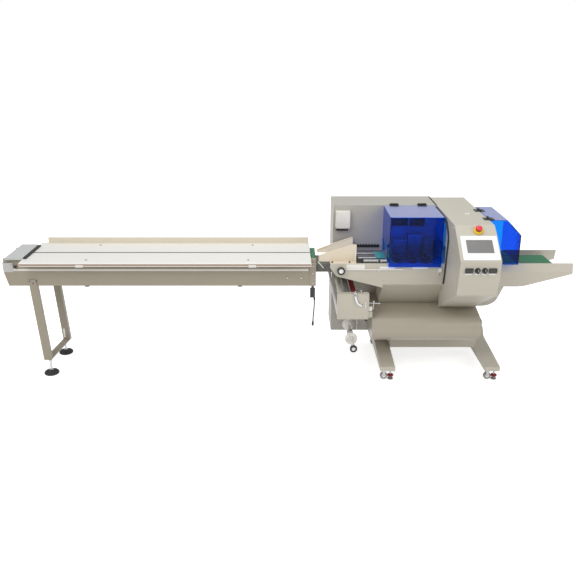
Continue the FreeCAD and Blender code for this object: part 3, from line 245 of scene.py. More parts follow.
def powder_coat(name, colour, roughness=0.42, patch=0.05, machine_side=None):
    """Even paint with the fine skin of powder coat, slightly patchy in colour and gloss.

    Where a node has ends of two colours, `machine_side` is the colour of the one at X > 0.
    """
    finish = Finish(name, Specular_IOR_Level=0.45)
    broad = finish.noise(2.2, 3)
    dust = finish.noise(16, 5)
    tint = finish.mix(broad, darker(colour, 1 - patch), tuple(min(1, c * (1 + patch)) for c in colour))
    if machine_side:
        tint = finish.mix(finish.axis("X") > 0, tint, machine_side)
    tint = finish.mix(dust * 0.12, tint, darker(colour, 0.8))
    return finish.feed(Base_Color=tint, Roughness=broad * 0.12 + (roughness - 0.06),
                       Normal=finish.bump(finish.noise(420, 1), 0.15 * MM))


def brushed_metal(name, colour, roughness=0.3, grain=(1, 60, 60)):
    """Bare metal with fine lines along its length."""
    finish = Finish(name, Metallic=1.0)
    lines = finish.noise(30, 3, grain)
    smears = finish.noise(9, 3)
    tint = finish.mix(lines, darker(colour, 0.85), colour)
    return finish.feed(Base_Color=tint, Roughness=lines * 0.15 + smears * 0.15 + (roughness - 0.13),
                       Normal=finish.bump(lines, 0.05 * MM, 0.3))


def plastic(name, colour, roughness=0.35, grain=0.08 * MM):
    """Moulded plastic with a fine spark-eroded grain."""
    finish = Finish(name, Specular_IOR_Level=0.5)
    broad = finish.noise(6, 2)
    return finish.feed(Base_Color=finish.mix(broad, darker(colour, 0.92), colour),
                       Roughness=broad * 0.1 + (roughness - 0.05),
                       Normal=finish.bump(finish.noise(900, 1), grain))


def rubber(name, colour, roughness=0.7):
    """Matt rubber, a little dusty."""
    finish = Finish(name, Specular_IOR_Level=0.3)
    dust = finish.noise(14, 4)
    return finish.feed(Base_Color=finish.mix(dust, colour, tuple(c * 0.8 + 0.02 for c in colour)),
                       Roughness=dust * 0.15 + (roughness - 0.07),
                       Normal=finish.bump(finish.noise(1200, 1), 0.06 * MM))


def woven_belt(name, colour):
    """A coated belt: its weave shows through as a fine grid, and its middle is a little worn."""
    finish = Finish(name, Specular_IOR_Level=0.35)
    grid = finish.axis("X").wave(1.6 * MM) * finish.axis("Y").wave(1.6 * MM)
    wear = finish.noise(5, 4, (0.3, 2, 2))
    return finish.feed(Base_Color=finish.mix(wear, darker(colour, 0.8), darker(colour, 1.15)),
                       Roughness=wear * 0.2 + 0.45, Normal=finish.bump(grid, 0.15 * MM))


def chain_steel(name, colour, pitch=12.7 * MM):
    """Oiled chain: light link plates and dark gaps, one of each in a pitch."""
    finish = Finish(name, Metallic=0.3)
    links = finish.axis("X").wave(pitch)
    oil = finish.noise(60, 3)
    return finish.feed(Base_Color=finish.mix(links, darker(colour, 0.25), colour),
                       Roughness=oil * 0.25 + 0.3, Normal=finish.bump(links, 1.5 * MM))


def tinted_sheet(name, colour, shade, reflection_tint):
    """Clear tinted sheet. Its upward faces carry a painted pale reflection of the light above, and what only casts a
    shadow passes, tinted.
    """
    finish = Finish(name, Base_Color=(*colour, 1), Transmission_Weight=1.0, IOR=1.2, Roughness=0.03)
    clear = Wire(finish, finish.shader.outputs[0])
    normal = finish.node("NewGeometry", output="Normal")
    upward = finish.node("SeparateXYZ", {}, {0: normal}, output=2) > 0.9
    # painted reflection: a pale, rougher shader mixed onto the upward faces stands for the light above mirrored in
    # the sheet
    film = finish.node("BsdfPrincipled", {}, {"Base Color": (*reflection_tint, 1), "Roughness": 0.25})
    top_reflection = finish.node("MixShader", {}, {0: upward * (finish.noise(5, 3) * 0.1 + 0.72), 1: clear, 2: film})
    shadow = finish.node("LightPath", output="Is Shadow Ray")
    through = finish.node("BsdfTransparent", {}, {"Color": (*shade, 1)})
    return finish.surface(finish.node("MixShader", {}, {0: shadow, 1: top_reflection, 2: through}))


# %% [markdown]
# Every look has a material, the slot of the record that it stands for, and the CAD nodes that wear it.

# %% Give every CAD node its finish
BEIGE = (0.50, 0.465, 0.385)
BROWN_GREY = (0.325, 0.285, 0.215)
LOOKS = {
    "paint": (powder_coat("beige_powder_coat", BEIGE), "grey_paint",
              "base_frame deck_plates film_drive_box lower_housing side_plate_back side_plate_front console"),
    "channel": (powder_coat("brown_powder_coat", BROWN_GREY), "grey_paint",
                "infeed_leg_frame infeed_side_back infeed_side_front"),
    # painted shade: the drum wears a darker, glossier copy of the body paint
    "drum": (powder_coat("drum_shaded_powder_coat", (0.375, 0.335, 0.265), 0.32), "grey_paint", "drum_housing"),
    "cabinet": (powder_coat("cabinet_powder_coat", (0.42, 0.40, 0.35)), "grey_paint", "rear_cabinet"),
    "dark_paint": (powder_coat("dark_powder_coat", (0.13, 0.12, 0.10)), "grey_paint", "link_bracket"),
    "edge": (powder_coat("edge_powder_coat", (0.36, 0.25, 0.18)), "grey_paint", ""),
    "cool_paint": (powder_coat("cool_powder_coat", (0.50, 0.50, 0.49), machine_side=BROWN_GREY), "cream_paint",
                   "infeed_end_brackets infeed_end_cover"),
    "pale": (powder_coat("pale_powder_coat", (0.74, 0.71, 0.66), 0.4, 0.03), "white_paint", "wall_box"),
    "bed": (powder_coat("bed_powder_coat", (0.76, 0.73, 0.69), 0.35, 0.02), "white_paint",
            "bed_plate_back bed_plate_front"),
    "cream": (powder_coat("cream_powder_coat", (0.76, 0.67, 0.53), 0.4, 0.04), "cream_paint", "forming_box"),
    "rail": (plastic("rail_plastic", (0.70, 0.64, 0.52)), "cream_plastic", "bed_guide_rail"),
    "steel": (brushed_metal("ground_steel", (0.46, 0.46, 0.45)), "machined_steel",
              "caster_forks film_spindles film_table fin_seal_heads infeed_sprockets infeed_ties outfeed_rollers"),
    "bright": (brushed_metal("bright_steel", (0.58, 0.58, 0.58), 0.16, (20, 20, 20)), "chrome",
               "reel_shaft clamp_screw infeed_feet reel_cones"),
    "dark_steel": (brushed_metal("dark_steel", (0.20, 0.20, 0.21), 0.35), "dark_metal",
                   "fin_seal_wheels reel_hub"),
    # the chain's near-black colour is partly its oil and partly painted shade for the bed slot it shows through
    "chain": (chain_steel("oiled_chain_and_slot_shade", (0.05, 0.05, 0.05)), "chain_steel", "infeed_chain"),
    # the last colour is the painted pale reflection on the sheet's upward faces
    "sheet": (tinted_sheet("blue_sheet", (0.0, 0.20, 0.80), (0.03, 0.22, 0.85), (0.33, 0.34, 0.48)),
              "blue_guard", "front_guard outfeed_guard"),
    "black": (plastic("black_plastic", (0.016, 0.016, 0.018)), "black_plastic",
              "hinge_bases front_hinge_leaves outfeed_hinge_leaves selector_knob_left selector_knob_right "
              "sensor_plug sensor_socket"),
    "grey": (plastic("grey_plastic", (0.20, 0.20, 0.20)), "grey_plastic",
             "film_roller_middle handwheel caster_pads"),
    "ivory": (plastic("ivory_plastic", (0.62, 0.58, 0.49)), "cream_plastic", "film_roller_left"),
    "tyre": (rubber("tyre_rubber", (0.03, 0.03, 0.03)), "wheel_rubber", "caster_wheels"),
    "grey_tyre": (rubber("grey_tyre_rubber", (0.26, 0.26, 0.25)), "wheel_rubber", ""),
    "red_rubber": (rubber("red_rubber", (0.25, 0.003, 0.006), 0.5), "red_rubber", "film_roller_right"),
    "belt": (woven_belt("green_belt", (0.035, 0.17, 0.075)), "green_belt", "outfeed_belt transfer_belt"),
    "white": (plastic("white_plastic", (0.84, 0.84, 0.83), 0.3), "white_plastic", "screen_bezel"),
    "screen": (plastic("blank_screen", (0.21, 0.20, 0.195), 0.2, 0.0), "screen", "touch_screen"),
    "yellow": (plastic("safety_yellow", (0.80, 0.52, 0.03)), "yellow_plastic", "stop_button_base"),
    "red": (plastic("safety_red", (0.72, 0.035, 0.045), 0.3), "red_plastic", "stop_button"),
    "meter": (plastic("meter_black", (0.02, 0.02, 0.022), 0.18, 0.0), "meter_plastic", "panel_meters"),
    "jacket": (rubber("lead_jacket", (0.012, 0.012, 0.012)), "cable_jacket", "sensor_lead"),
    "teal": (plastic("teal_plastic", (0.05, 0.30, 0.26), 0.25), "green_belt", ""),
}
for material, slot, names in LOOKS.values():
    for name in names.split():
        NODES[name].data.materials.clear()
        NODES[name].data.materials.append(material)
print(len(LOOKS), "looks on", sum(len(look[2].split()) for look in LOOKS.values()), "CAD nodes")

# %% [markdown]
# ## Surfaces from numpy
#
# Every added piece is made of grids of points: a profile turned round an axis, an outline swept along a path,
# or an outline raised in levels. Each function gives a rows x columns x 3 array, and `Piece` joins the
# neighbours with quads. A `seat` says where the grid's own X, Y and Z go on the machine.

# %% Grids and pieces
def unit(vectors):
    """Vectors of length 1: v / |v|."""
    vectors = np.asarray(vectors, float)
    return vectors / np.linalg.norm(vectors, axis=-1, keepdims=True)


def seat(place, across, up):
    """The local frame at a place: X = across, Y = up, and Z = across x up points out of the surface."""
    frame = np.eye(4)
    frame[:3, 0], frame[:3, 1] = unit(across), unit(up)
    frame[:3, 2] = np.cross(frame[:3, 0], frame[:3, 1])
    frame[:3, 3] = place
    return frame


def front(x, y, z):
    return seat((x, y, z), (1, 0, 0), (0, 0, 1))


def top(x, y, z):
    return seat((x, y, z), (1, 0, 0), (0, 1, 0))


def left(x, y, z):
    return seat((x, y, z), (0, -1, 0), (0, 0, 1))


def right(x, y, z):
    return seat((x, y, z), (0, 1, 0), (0, 0, 1))


def under(x, y, z):
    return seat((x, y, z), (1, 0, 0), (0, -1, 0))


def turned(profile, count=32, lobes=0, depth=0):
    """A profile of (radius, height) turned round Z: (r cos t, r sin t, h), r less `depth` between lobes."""
    profile = np.asarray(profile, float)
    t = np.linspace(0, 2 * np.pi, count, endpoint=False)
    rim = profile[:, :1] >= 0.98 * profile[:, 0].max()
    radius = profile[:, :1] - depth * rim * (0.5 - 0.5 * np.cos(lobes * t))
    height = np.repeat(profile[:, 1:2], count, axis=1)
    return np.stack([radius * np.cos(t), radius * np.sin(t), height], axis=-1)


def ring(radius, count=12):
    """A circle of points: (r cos t, r sin t)."""
    t = np.linspace(0, 2 * np.pi, count, endpoint=False)
    return radius * np.stack([np.cos(t), np.sin(t)], axis=-1)


def rounded(width, height, radius, steps=4):
    """A rectangle with round corners: each corner's centre + r (cos t, sin t), a quarter turn each."""
    t = np.linspace(0, np.pi / 2, steps)
    quarter = np.arange(4)[:, None] * np.pi / 2 + t
    signs = np.array([(1, 1), (-1, 1), (-1, -1), (1, -1)])
    centres = signs * (width / 2 - radius, height / 2 - radius)
    arcs = radius * np.stack([np.cos(quarter), np.sin(quarter)], axis=-1)
    return (centres[:, None] + arcs).reshape(-1, 2)


def raised(outline, levels):
    """An outline at levels of (height, inset): every point moves inwards along its normal by the inset."""
    outline = np.asarray(outline, float)
    along = unit(np.roll(outline, -1, axis=0) - np.roll(outline, 1, axis=0))
    inward = np.stack([-along[:, 1], along[:, 0]], axis=-1)
    levels = np.asarray(levels, float)
    flat = outline + levels[:, 1, None, None] * inward
    height = np.broadcast_to(levels[:, 0, None, None], flat.shape[:2] + (1,))
    return np.concatenate([flat, height], axis=-1)


def slab(width, height, wall, radius=1 * MM, edge=0.6 * MM):
    """A plate that lies on its seat, with round corners and an eased front edge."""
    return raised(rounded(width, height, radius), [(0, 0), (wall - edge, 0), (wall - 0.3 * edge, 0.3 * edge),
                                                   (wall, edge)])


def smooth(points, steps=8):
    """A Catmull-Rom path: p(t) = half of (2b + (c - a) t + (2a - 5b + 4c - d) t^2 + (3b - a - 3c + d) t^3)."""
    p = np.asarray(points, float)
    p = np.vstack([2 * p[0] - p[1], p, 2 * p[-1] - p[-2]])
    a, b, c, d = (p[i:len(p) - 3 + i, None] for i in range(4))
    t = np.linspace(0, 1, steps, endpoint=False)[None, :, None]
    path = (2 * b + (c - a) * t + (2 * a - 5 * b + 4 * c - d) * t ** 2 + (3 * b - a - 3 * c + d) * t ** 3) / 2
    return np.vstack([path.reshape(-1, 3), p[-2]])


def swept(path, outline, side=(1, 0, 0)):
    """An outline carried along a path: p + u S + v (T x S), with S the side square to the tangent T."""
    path, outline = np.asarray(path, float), np.asarray(outline, float)
    tangent = unit(np.gradient(path, axis=0))
    side = np.broadcast_to(np.asarray(side, float), path.shape)
    side = unit(side - (side * tangent).sum(-1, keepdims=True) * tangent)
    other = np.cross(tangent, side)
    return (path[:, None] + outline[None, :, :1] * side[:, None] + outline[None, :, 1:] * other[:, None])


def bar(start, end, radius, side=(1, 0, 0), count=12):
    """A straight round bar with eased ends."""
    start, end = np.asarray(start, float), np.asarray(end, float)
    step = unit(end - start) * radius * 0.3
    grid = swept([start, start + step, end - step, end], ring(radius, count), side)
    centres = np.array([start, end])[:, None]
    grid[[0, -1]] = centres + (grid[[0, -1]] - centres) * 0.7
    return grid


class Piece:
    """One visible object: grids are added to it, and `done` makes the mesh and seats it on its body."""

    def __init__(self, name, look, body="frame"):
        self.name, self.look, self.body = name, look, body
        self.points, self.faces, self.count = [], [], 0

    def add(self, grid, where=np.eye(4), caps=True):
        """Joins a grid's neighbours with quads, round each row, and closes the two ends."""
        rows, columns = grid.shape[:2]
        index = self.count + np.arange(rows * columns).reshape(rows, columns)
        after = np.roll(index, -1, axis=1)
        quads = np.stack([index[:-1], after[:-1], after[1:], index[1:]], axis=-1)
        self.faces += quads.reshape(-1, 4).tolist()
        if caps:
            self.faces += [index[0, ::-1].tolist(), index[-1].tolist()]
        self.points.append(grid.reshape(-1, 3) @ where[:3, :3].T + where[:3, 3])
        self.count += rows * columns
        return self

    def done(self, replaces=()):
        mesh = bpy.data.meshes.new(self.name)
        mesh.from_pydata(np.concatenate(self.points), [], self.faces)
        work = bmesh.new()
        work.from_mesh(mesh)
        bmesh.ops.recalc_face_normals(work, faces=work.faces)
        work.to_mesh(mesh)
        work.free()
        mesh.shade_smooth()
        mesh.set_sharp_from_angle(angle=math.radians(38))
        made = bpy.data.objects.new(self.name, mesh)
        bpy.context.scene.collection.objects.link(made)
        made.data.materials.append(LOOKS[self.look][0])
        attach(made, self.body)
        if replaces:
            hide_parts(*replaces)
        PIECES.append(made)
        return made


def screw(radius, height):
    """A button-head screw with a hex socket's round mouth."""
    r, h = radius, height
    return turned([(r, 0), (r, 0.45 * h), (0.8 * r, 0.88 * h), (0.5 * r, h), (0.42 * r, h), (0.4 * r, 0.4 * h)], 12)


def screws(name, look, seats, radius=5 * MM, height=3.5 * MM, body="frame"):
    piece = Piece(name, look, body)
    for where in seats:
        piece.add(screw(radius, height), where)
    return piece.done()


def ball(radius, count=16):
    """A ball: (r cos v cos t, r cos v sin t, r sin v)."""
    v = np.linspace(-0.49 * np.pi, 0.49 * np.pi, 9)
    return turned(np.stack([radius * np.cos(v), radius * np.sin(v)], axis=-1), count)


PIECES = []
print("a screw has", screw(1, 1).shape[0] * 12, "faces, a ball", 8 * 16)

# %% [markdown]
# ## Infeed
#
# The bed plates are screwed down from above, the channel has bolts at its right end and clips under it, and
# the leg frame stands on two levelling feet with rounded rubber pads.

# %% Dress the infeed
BED_TOP, LINE_Y = 0.838, 0.0813
POST_FRONT, BRACKET_FRONT = -0.0677, -0.0667
LEG_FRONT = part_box("infeed_leg_frame")[0].y
CHANNEL_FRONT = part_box("infeed_side_front")[0].y
BED_SCREWS = ((-1.310, -0.094), (-0.250, -0.094), (-1.302, 0.262), (-0.236, 0.262))
screws("bed_screws", "grey", [top(x, y, BED_TOP) for x, y in BED_SCREWS], 8 * MM, 3 * MM)
screws("channel_bolts", "bright", [front(x, CHANNEL_FRONT, 0.706) for x in (0.098, 0.005)], 7 * MM, 6 * MM)
POST_BOLTS = [front(0.175, POST_FRONT, z) for z in (0.672, 0.737, 0.790)]
BRACKET_BOLTS = [front(-1.815, BRACKET_FRONT, z) for z in (0.760, 0.795)]
screws("channel_end_bolts", "bright", POST_BOLTS + BRACKET_BOLTS, 5 * MM, 4 * MM)
LEG_BOLTS = [front(x, LEG_FRONT, z) for x, z in ((-1.706, 0.684), (-1.662, 0.684), (-1.684, 0.668))]
screws("leg_bolts", "dark_steel", LEG_BOLTS, 5 * MM, 4 * MM)
clips = Piece("channel_clips", "black")
for x in (-1.330, -0.310):
    clips.add(slab(0.030, 0.016, 0.008, 2 * MM), under(x, CHANNEL_FRONT + 0.010, 0.650))
clips.done()
LIP_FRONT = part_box("bed_plate_front")[0].y
BED_MIDDLE, BED_STRIP = -0.785, 1.884
Piece("lip_edge", "edge").add(slab(BED_STRIP, 0.011, 0.0015, 1 * MM), front(BED_MIDDLE, LIP_FRONT, 0.8240)).done()
Piece("channel_flange", "pale").add(slab(1.990, 0.014, 0.002, 1 * MM), front(-0.850, CHANNEL_FRONT, 0.7610)).done()
SLOT_BACK = 0.0893
# A black strip just under the slot between the bed plates: painted shade in the slot.
Piece("slot_shade_strip", "tyre").add(slab(BED_STRIP, 0.0046, 0.001), front(BED_MIDDLE, SLOT_BACK, 0.8352)).done()
# A dark strip at the end cover's right edge: partly the cover's dark rounded lip, partly painted shade under it.
Piece("cover_lip_shade", "tyre").add(slab(0.020, 0.306, 0.010, 3 * MM), top(-1.7195, LINE_Y, BED_TOP)).done()
lip_clips = Piece("lip_clips", "pale")
for x in (-1.340, -0.220):
    lip_clips.add(slab(0.050, 0.016, 0.006, 3 * MM), front(x, LIP_FRONT, 0.8170))
lip_clips.done()
KNOB = [(0.004, 0), (0.004, 0.004), (0.009, 0.006), (0.010, 0.009), (0.010, 0.016), (0.008, 0.018)]
Piece("end_knob", "black").add(turned(KNOB, 32, 8, 0.8 * MM), front(-1.786, CHANNEL_FRONT - 0.003, 0.787)).done()
PAD = [(0.046, 0), (0.050, 0.004), (0.050, 0.012), (0.044, 0.019), (0.030, 0.024), (0.018, 0.026)]
feet = Piece("feet_pads", "tyre")
stems = Piece("feet_stems", "bright")
for y in (LEG_FRONT + 0.0175, LEG_FRONT + 0.3615):
    where = top(-1.636, y, 0)
    feet.add(turned(PAD, 40), where)
    stems.add(turned([(0.015, 0.024), (0.015, 0.030), (0.008, 0.034), (0.008, 0.109)], 20), where)
    stems.add(turned([(0.013, 0.094), (0.013, 0.104)], 6), where)
feet.done(["infeed_feet"])
stems.done()
Piece("leg_slot", "white").add(slab(0.013, 0.070, 0.003, 3 * MM), front(-1.629, LEG_FRONT + 0.344, 0.166)).done()

# the lead, its strain relief and its plug
RELIEF = [(0.0065, 0), (0.0065, 0.006), (0.0058, 0.012), (0.0046, 0.024)]
relief = Piece("lead_relief", "black").add(turned(RELIEF, 20), under(*LEAD_POINTS[0])).done()
tip = np.subtract(LEAD_POINTS[-1], LEAD_POINTS[-2])
PLUG_SEAT = seat(LEAD_POINTS[-1], np.cross((0, 1, 0), tip), (0, 1, 0))
PLUG = [(0.0042, -0.001), (0.0055, 0.006), (0.0073, 0.012), (0.0075, 0.030), (0.0060, 0.033), (0.0060, 0.034)]
plug = Piece("plug", "black").add(turned(PLUG, 24), PLUG_SEAT).done(["sensor_plug"])
plug_tip = Piece("plug_tip", "bright").add(
    turned([(0.0045, 0.033), (0.0045, 0.040), (0.003, 0.042)], 16), PLUG_SEAT).done()
lead.data.materials.append(LOOKS["jacket"][0])
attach(lead, "frame")
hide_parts("sensor_lead")
print(len(PIECES), "pieces so far")

# %% [markdown]
# ## Forming box and film table
#
# The forming box's wings have rolled lips that the film slides over. Next come the film table's screws, its
# clear green run-in plate and the fence with its clamp knob.

# %% Dress the film path
FRONT_LIP = [(0.214, -0.0500, 0.820), (0.216, -0.0585, 0.856), (0.236, -0.0610, 0.868), (0.340, -0.0690, 0.9035),
             (0.443, -0.0775, 0.9385)]
BACK_LIP = [(0.213, 0.1755, 0.820), (0.216, 0.1775, 0.831), (0.236, 0.1800, 0.839), (0.340, 0.1890, 0.8755),
            (0.450, 0.1985, 0.9110)]
lips = Piece("former_lips", "cream")
lips.add(swept(smooth(FRONT_LIP), ring(3.2 * MM, 10), (0, 1, 0)))
lips.add(swept(smooth(BACK_LIP), ring(4.5 * MM, 10), (0, 1, 0)))
lips.done()
HEM = seat((0.453, -0.0745, 0.8655), (1, 0, 0), (0, -0.22, 1))
Piece("former_hem", "white").add(slab(0.006, 0.086, 0.003), HEM).done()
screws("former_screw", "black", [top(x, -0.083, 0.818) for x in (0.413, 0.300)], 6 * MM, 9 * MM)
TABLE_SCREWS = [top(x, y, 0.830) for x in (0.545, 0.640) for y in (0.004, 0.106)]
screws("table_screws", "dark_steel", TABLE_SCREWS, 4 * MM, 3 * MM)
Piece("run_in_plate", "teal").add(slab(0.064, 0.150, 0.002, 2 * MM), top(0.626, 0.046, 0.8305)).done()
FENCE_KNOB = [(0.012, 0), (0.0155, 0.002), (0.0155, 0.010), (0.012, 0.012)]
FENCE_Y, FENCE_Z = -0.0730, 0.8180
Piece("fence_knob", "black").add(turned(FENCE_KNOB, 32, 10, 0.8 * MM), right(0.6045, FENCE_Y, FENCE_Z)).done()
Piece("fence_clamp", "steel").add(turned([(0.004, 0), (0.004, 0.034)], 12), right(0.594, FENCE_Y, FENCE_Z)).done()
Piece("gap_strip", "white").add(bar((0.206, -0.098, 0.828), (0.243, -0.081, 0.780), 2.6 * MM)).done()
CABINET_FACE = 0.2363
rack = Piece("feed_rack", "black").add(slab(0.150, 0.007, 0.010, 1 * MM), front(0.566, CABINET_FACE, 0.838))
for x in np.linspace(0.496, 0.636, 8):
    rack.add(turned([(0.0085, 0), (0.0085, 0.012), (0.006, 0.014)], 16), front(x, CABINET_FACE, 0.846))
rack.done()
print("rolled lips, table screws, run-in plate, fence knob and feed rack")

# %% [markdown]
# ## Front plate
#
# The front plate has a leaning upper band with blank name strips, a long light ledge with two hooks, and the
# small handwheel that shifts the film.

# %% Dress the front plate and the handwheel
PLATE_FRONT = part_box("side_plate_front")[0].y


BAND_FOOT, BAND_LEAN, BAND_RISE = 0.760, 0.012, 0.055


def band(x, z):
    """A seat on the band, which leans back by BAND_LEAN over a height of BAND_RISE."""
    y = PLATE_FRONT + BAND_LEAN * (z - BAND_FOOT) / BAND_RISE
    return seat((x, y, z), (1, 0, 0), (0, BAND_LEAN, BAND_RISE))


strips = Piece("blank_strips", "white")
for x in (0.660, 0.8755):
    strips.add(slab(0.100, 0.013, 0.0012, 1 * MM, 0.4 * MM), band(x, 0.7885))
strips.done()
Piece("band_cover", "pale").add(slab(0.120, 0.038, 0.002, 2 * MM), band(0.452, 0.7910)).done()
ledge = Piece("film_ledge", "pale").add(slab(0.366, 0.007, 0.006, 1 * MM), front(0.5785, PLATE_FRONT, 0.7780))
for x in (0.574, 0.601):
    hook = [(x - 0.005, PLATE_FRONT - 0.003, 0.775), (x - 0.003, PLATE_FRONT - 0.006, 0.764),
            (x + 0.003, PLATE_FRONT - 0.006, 0.764), (x + 0.005, PLATE_FRONT - 0.003, 0.775)]
    ledge.add(swept(smooth(hook, 4), ring(1.6 * MM, 8), (0, 1, 0)))
ledge.done()
Piece("plate_block", "pale").add(slab(0.021, 0.024, 0.012, 2 * MM), front(1.0045, PLATE_FRONT, 0.7740)).done()
PLATE_BOLTS = [front(x, PLATE_FRONT, z) for x, z in ((1.000, 0.744), (1.7256, 0.744), (0.640, 0.700))]
screws("plate_bolts", "bright", PLATE_BOLTS, 5 * MM, 4 * MM)

# the handwheel: a scalloped rim, and a cap on a shaft that runs through both side plates
WHEEL_RIM = [(0.0165, 0.012), (0.0165, 0), (0.024, 0), (0.026, 0.003), (0.026, 0.022), (0.0235, 0.026),
             (0.019, 0.026), (0.0165, 0.023), (0.0165, 0.012)]
WHEEL_CAP = [(0.0165, 0.002), (0.0165, 0.019), (0.0145, 0.0215), (0.007, 0.0225), (0.006, 0.021), (0.002, 0.021)]
WHEEL_SEAT = front(0.356, PLATE_FRONT - 0.008, 0.774)
Piece("handwheel_rim", "black", "handwheel").add(
    turned(WHEEL_RIM, 72, 12, 1 * MM), WHEEL_SEAT, caps=False).done(["handwheel"])
Piece("handwheel_cap", "white", "handwheel").add(turned(WHEEL_CAP, 40), WHEEL_SEAT).add(
    turned([(0.007, -0.343), (0.007, 0.003)], 20), WHEEL_SEAT).done()

# %% [markdown]
# ## Film drive and reel
#
# A pull handle and a lever show on the drive box, the clamp has ball ends, and the reel shaft carries two
# cones, a clamp collar with its lever and a black end nut.

# %% Dress the drive box and the reel
BOX_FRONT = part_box("film_drive_box")[0].y
BOX_MIDDLE = -0.1487
HANDLE = [(0.462, -0.150, 0.640), (0.452, -0.166, 0.640), (0.450, BOX_FRONT - 0.008, 0.622),
          (0.455, BOX_FRONT - 0.010, 0.595), (0.468, BOX_FRONT - 0.009, 0.566), (0.488, BOX_FRONT - 0.006, 0.552),
          (0.500, BOX_FRONT + 0.002, 0.549)]
LEVER_TIP = [(0.003, 0), (0.003, 0.010), (0.006, 0.013), (0.006, 0.019), (0.003, 0.022)]
handle = Piece("box_handle", "bright")
handle.add(swept(smooth(HANDLE), rounded(0.012, 0.016, 0.004), (0, 1, 0)))
handle.add(bar((0.520, BOX_FRONT - 0.004, 0.583), (0.520, BOX_FRONT - 0.004, 0.530), 4 * MM))
handle.add(turned(LEVER_TIP, 16), top(0.489, BOX_MIDDLE, 0.629))
handle.done()
BOX_SCREWS = ((0.492, 0.612), (0.348, 0.463), (0.529, 0.463), (0.348, 0.617))
screws("box_screws", "bright", [front(x, BOX_FRONT, z) for x, z in BOX_SCREWS], 4 * MM, 3 * MM)
Piece("box_seam", "paint").add(slab(0.192, 0.163, 0.002, 4 * MM), front(0.4385, BOX_FRONT, 0.540)).done()
BOX_KNOB = [(0.005, 0), (0.005, 0.004), (0.011, 0.006), (0.011, 0.016), (0.008, 0.019)]
Piece("box_knob", "black").add(turned(BOX_KNOB, 24, 8, 0.8 * MM), under(0.527, BOX_MIDDLE, 0.451)).done()
clamp = Piece("clamp_levers", "bright")
clamp.add(bar((0.542, BOX_MIDDLE, 0.560), (0.612, BOX_MIDDLE, 0.5565), 3 * MM))
clamp.add(bar((0.575, BOX_MIDDLE, 0.570), (0.572, BOX_MIDDLE, 0.521), 2.5 * MM, (0, 1, 0)))
for x, z in ((0.576, 0.570), (0.612, 0.5565), (0.572, 0.5195)):
    clamp.add(ball(6 * MM), front(x, BOX_MIDDLE, z))
clamp.done(["clamp_screw"])
Piece("box_bracket", "pale").add(slab(0.022, 0.030, 0.020, 2 * MM), front(0.5535, -0.1387, 0.520)).done()

# the reel shaft: profiles are (radius, place along the shaft towards the operator)
REEL_X, REEL_Z = 0.440, 0.280
SHAFT = front(REEL_X, 0, REEL_Z)
TUBE = [(0.0115, -0.2313), (0.0125, -0.2303), (0.0125, 0.2560)]
END_RING = [(0.0125, 0.2545), (0.0240, 0.2547), (0.0245, 0.2560), (0.0245, 0.2660), (0.0230, 0.2687),
            (0.0130, 0.2687), (0.0125, 0.2680), (0.0125, 0.2545)]
END_CAP = [(0.0125, 0.2550), (0.0125, 0.2665), (0.0110, 0.2675)]
COLLAR = [(0.0125, -0.0313), (0.0195, -0.0313), (0.0210, -0.0298), (0.0210, -0.0148), (0.0195, -0.0133),
          (0.0125, -0.0133)]
Piece("reel_tube", "pale", "film_reel_shaft").add(turned(TUBE, 32), SHAFT).done(["reel_shaft"])
Piece("reel_ring", "black", "film_reel_shaft").add(turned(END_RING, 48), SHAFT, caps=False).done()
Piece("reel_cap", "pale", "film_reel_shaft").add(turned(END_CAP, 32), SHAFT).done()
collar = Piece("reel_collar", "steel", "film_reel_shaft").add(turned(COLLAR, 40), SHAFT)
collar.add(bar((0.452, 0.0223, 0.267), (0.471, 0.0223, 0.246), 2.6 * MM, (0, 1, 0)))
collar.done()
CONE = [(0.0129, 0), (0.0190, 0), (0.0200, 0.001), (0.0200, 0.0255), (0.0330, 0.0262), (0.0410, 0.0270),
        (0.0420, 0.0280), (0.0420, 0.0325), (0.0410, 0.0340), (0.0230, 0.0635), (0.0220, 0.0640), (0.0129, 0.0640),
        (0.0129, 0)]
FRONT_BOSS, BACK_BOSS = 0.12067, -0.19133
cones = Piece("reel_cones_dressed", "pale", "film_reel_shaft")
cones.add(turned([(r, FRONT_BOSS - h) for r, h in CONE], 48), SHAFT, caps=False)
cones.add(turned([(r, h + BACK_BOSS) for r, h in CONE], 48), SHAFT, caps=False)
cones.done(["reel_cones"])
cone_trim = Piece("reel_cone_trim", "steel", "film_reel_shaft")
for t in np.arange(4) * np.pi / 2 + 0.4:
    where = front(REEL_X + 0.031 * math.cos(t), -0.0935, REEL_Z + 0.031 * math.sin(t))
    cone_trim.add(screw(3.5 * MM, 2.5 * MM), where)
cone_trim.done()
BEARING = [(0.0129, -0.2363), (0.0310, -0.2363), (0.0310, -0.2230), (0.0295, -0.2215), (0.0200, -0.2210),
           (0.0190, -0.2070), (0.0129, -0.2065), (0.0129, -0.2363)]
Piece("reel_bearing", "steel").add(turned(BEARING, 40), SHAFT, caps=False).done(["reel_hub"])
CROSS = ((0.025, 0), (-0.025, 0), (0, 0.025), (0, -0.025))
screws("bearing_screws", "bright", [front(REEL_X + dx, 0.2215, REEL_Z + dz) for dx, dz in CROSS], 3 * MM, 3 * MM)
rods = Piece("film_rods", "white")
rods.add(bar((0.2915, 0.2157, 0.698), (0.356, 0.060, 0.400), 9 * MM, count=20))
rods.add(bar((0.356, 0.062, 0.404), (0.356, CABINET_FACE, 0.404), 4 * MM))
rods.add(bar((0.510, 0.2270, 0.420), (0.510, 0.2270, 0.212), 4.5 * MM, (1, 0, 0)))
rods.done()
ends = Piece("roller_ends", "steel")
for x in (0.358, 0.405, 0.448):
    ends.add(turned([(0.0130, 0), (0.0130, 0.004), (0.0100, 0.0045)], 24), front(x, CABINET_FACE, 0.605))
ends.done()
print(len(PIECES), "pieces so far")

# %% [markdown]
# ## Cabinet and guards
#
# Two dark windows and the wall box show on the cabinet's face. The hinges are held by small screws.

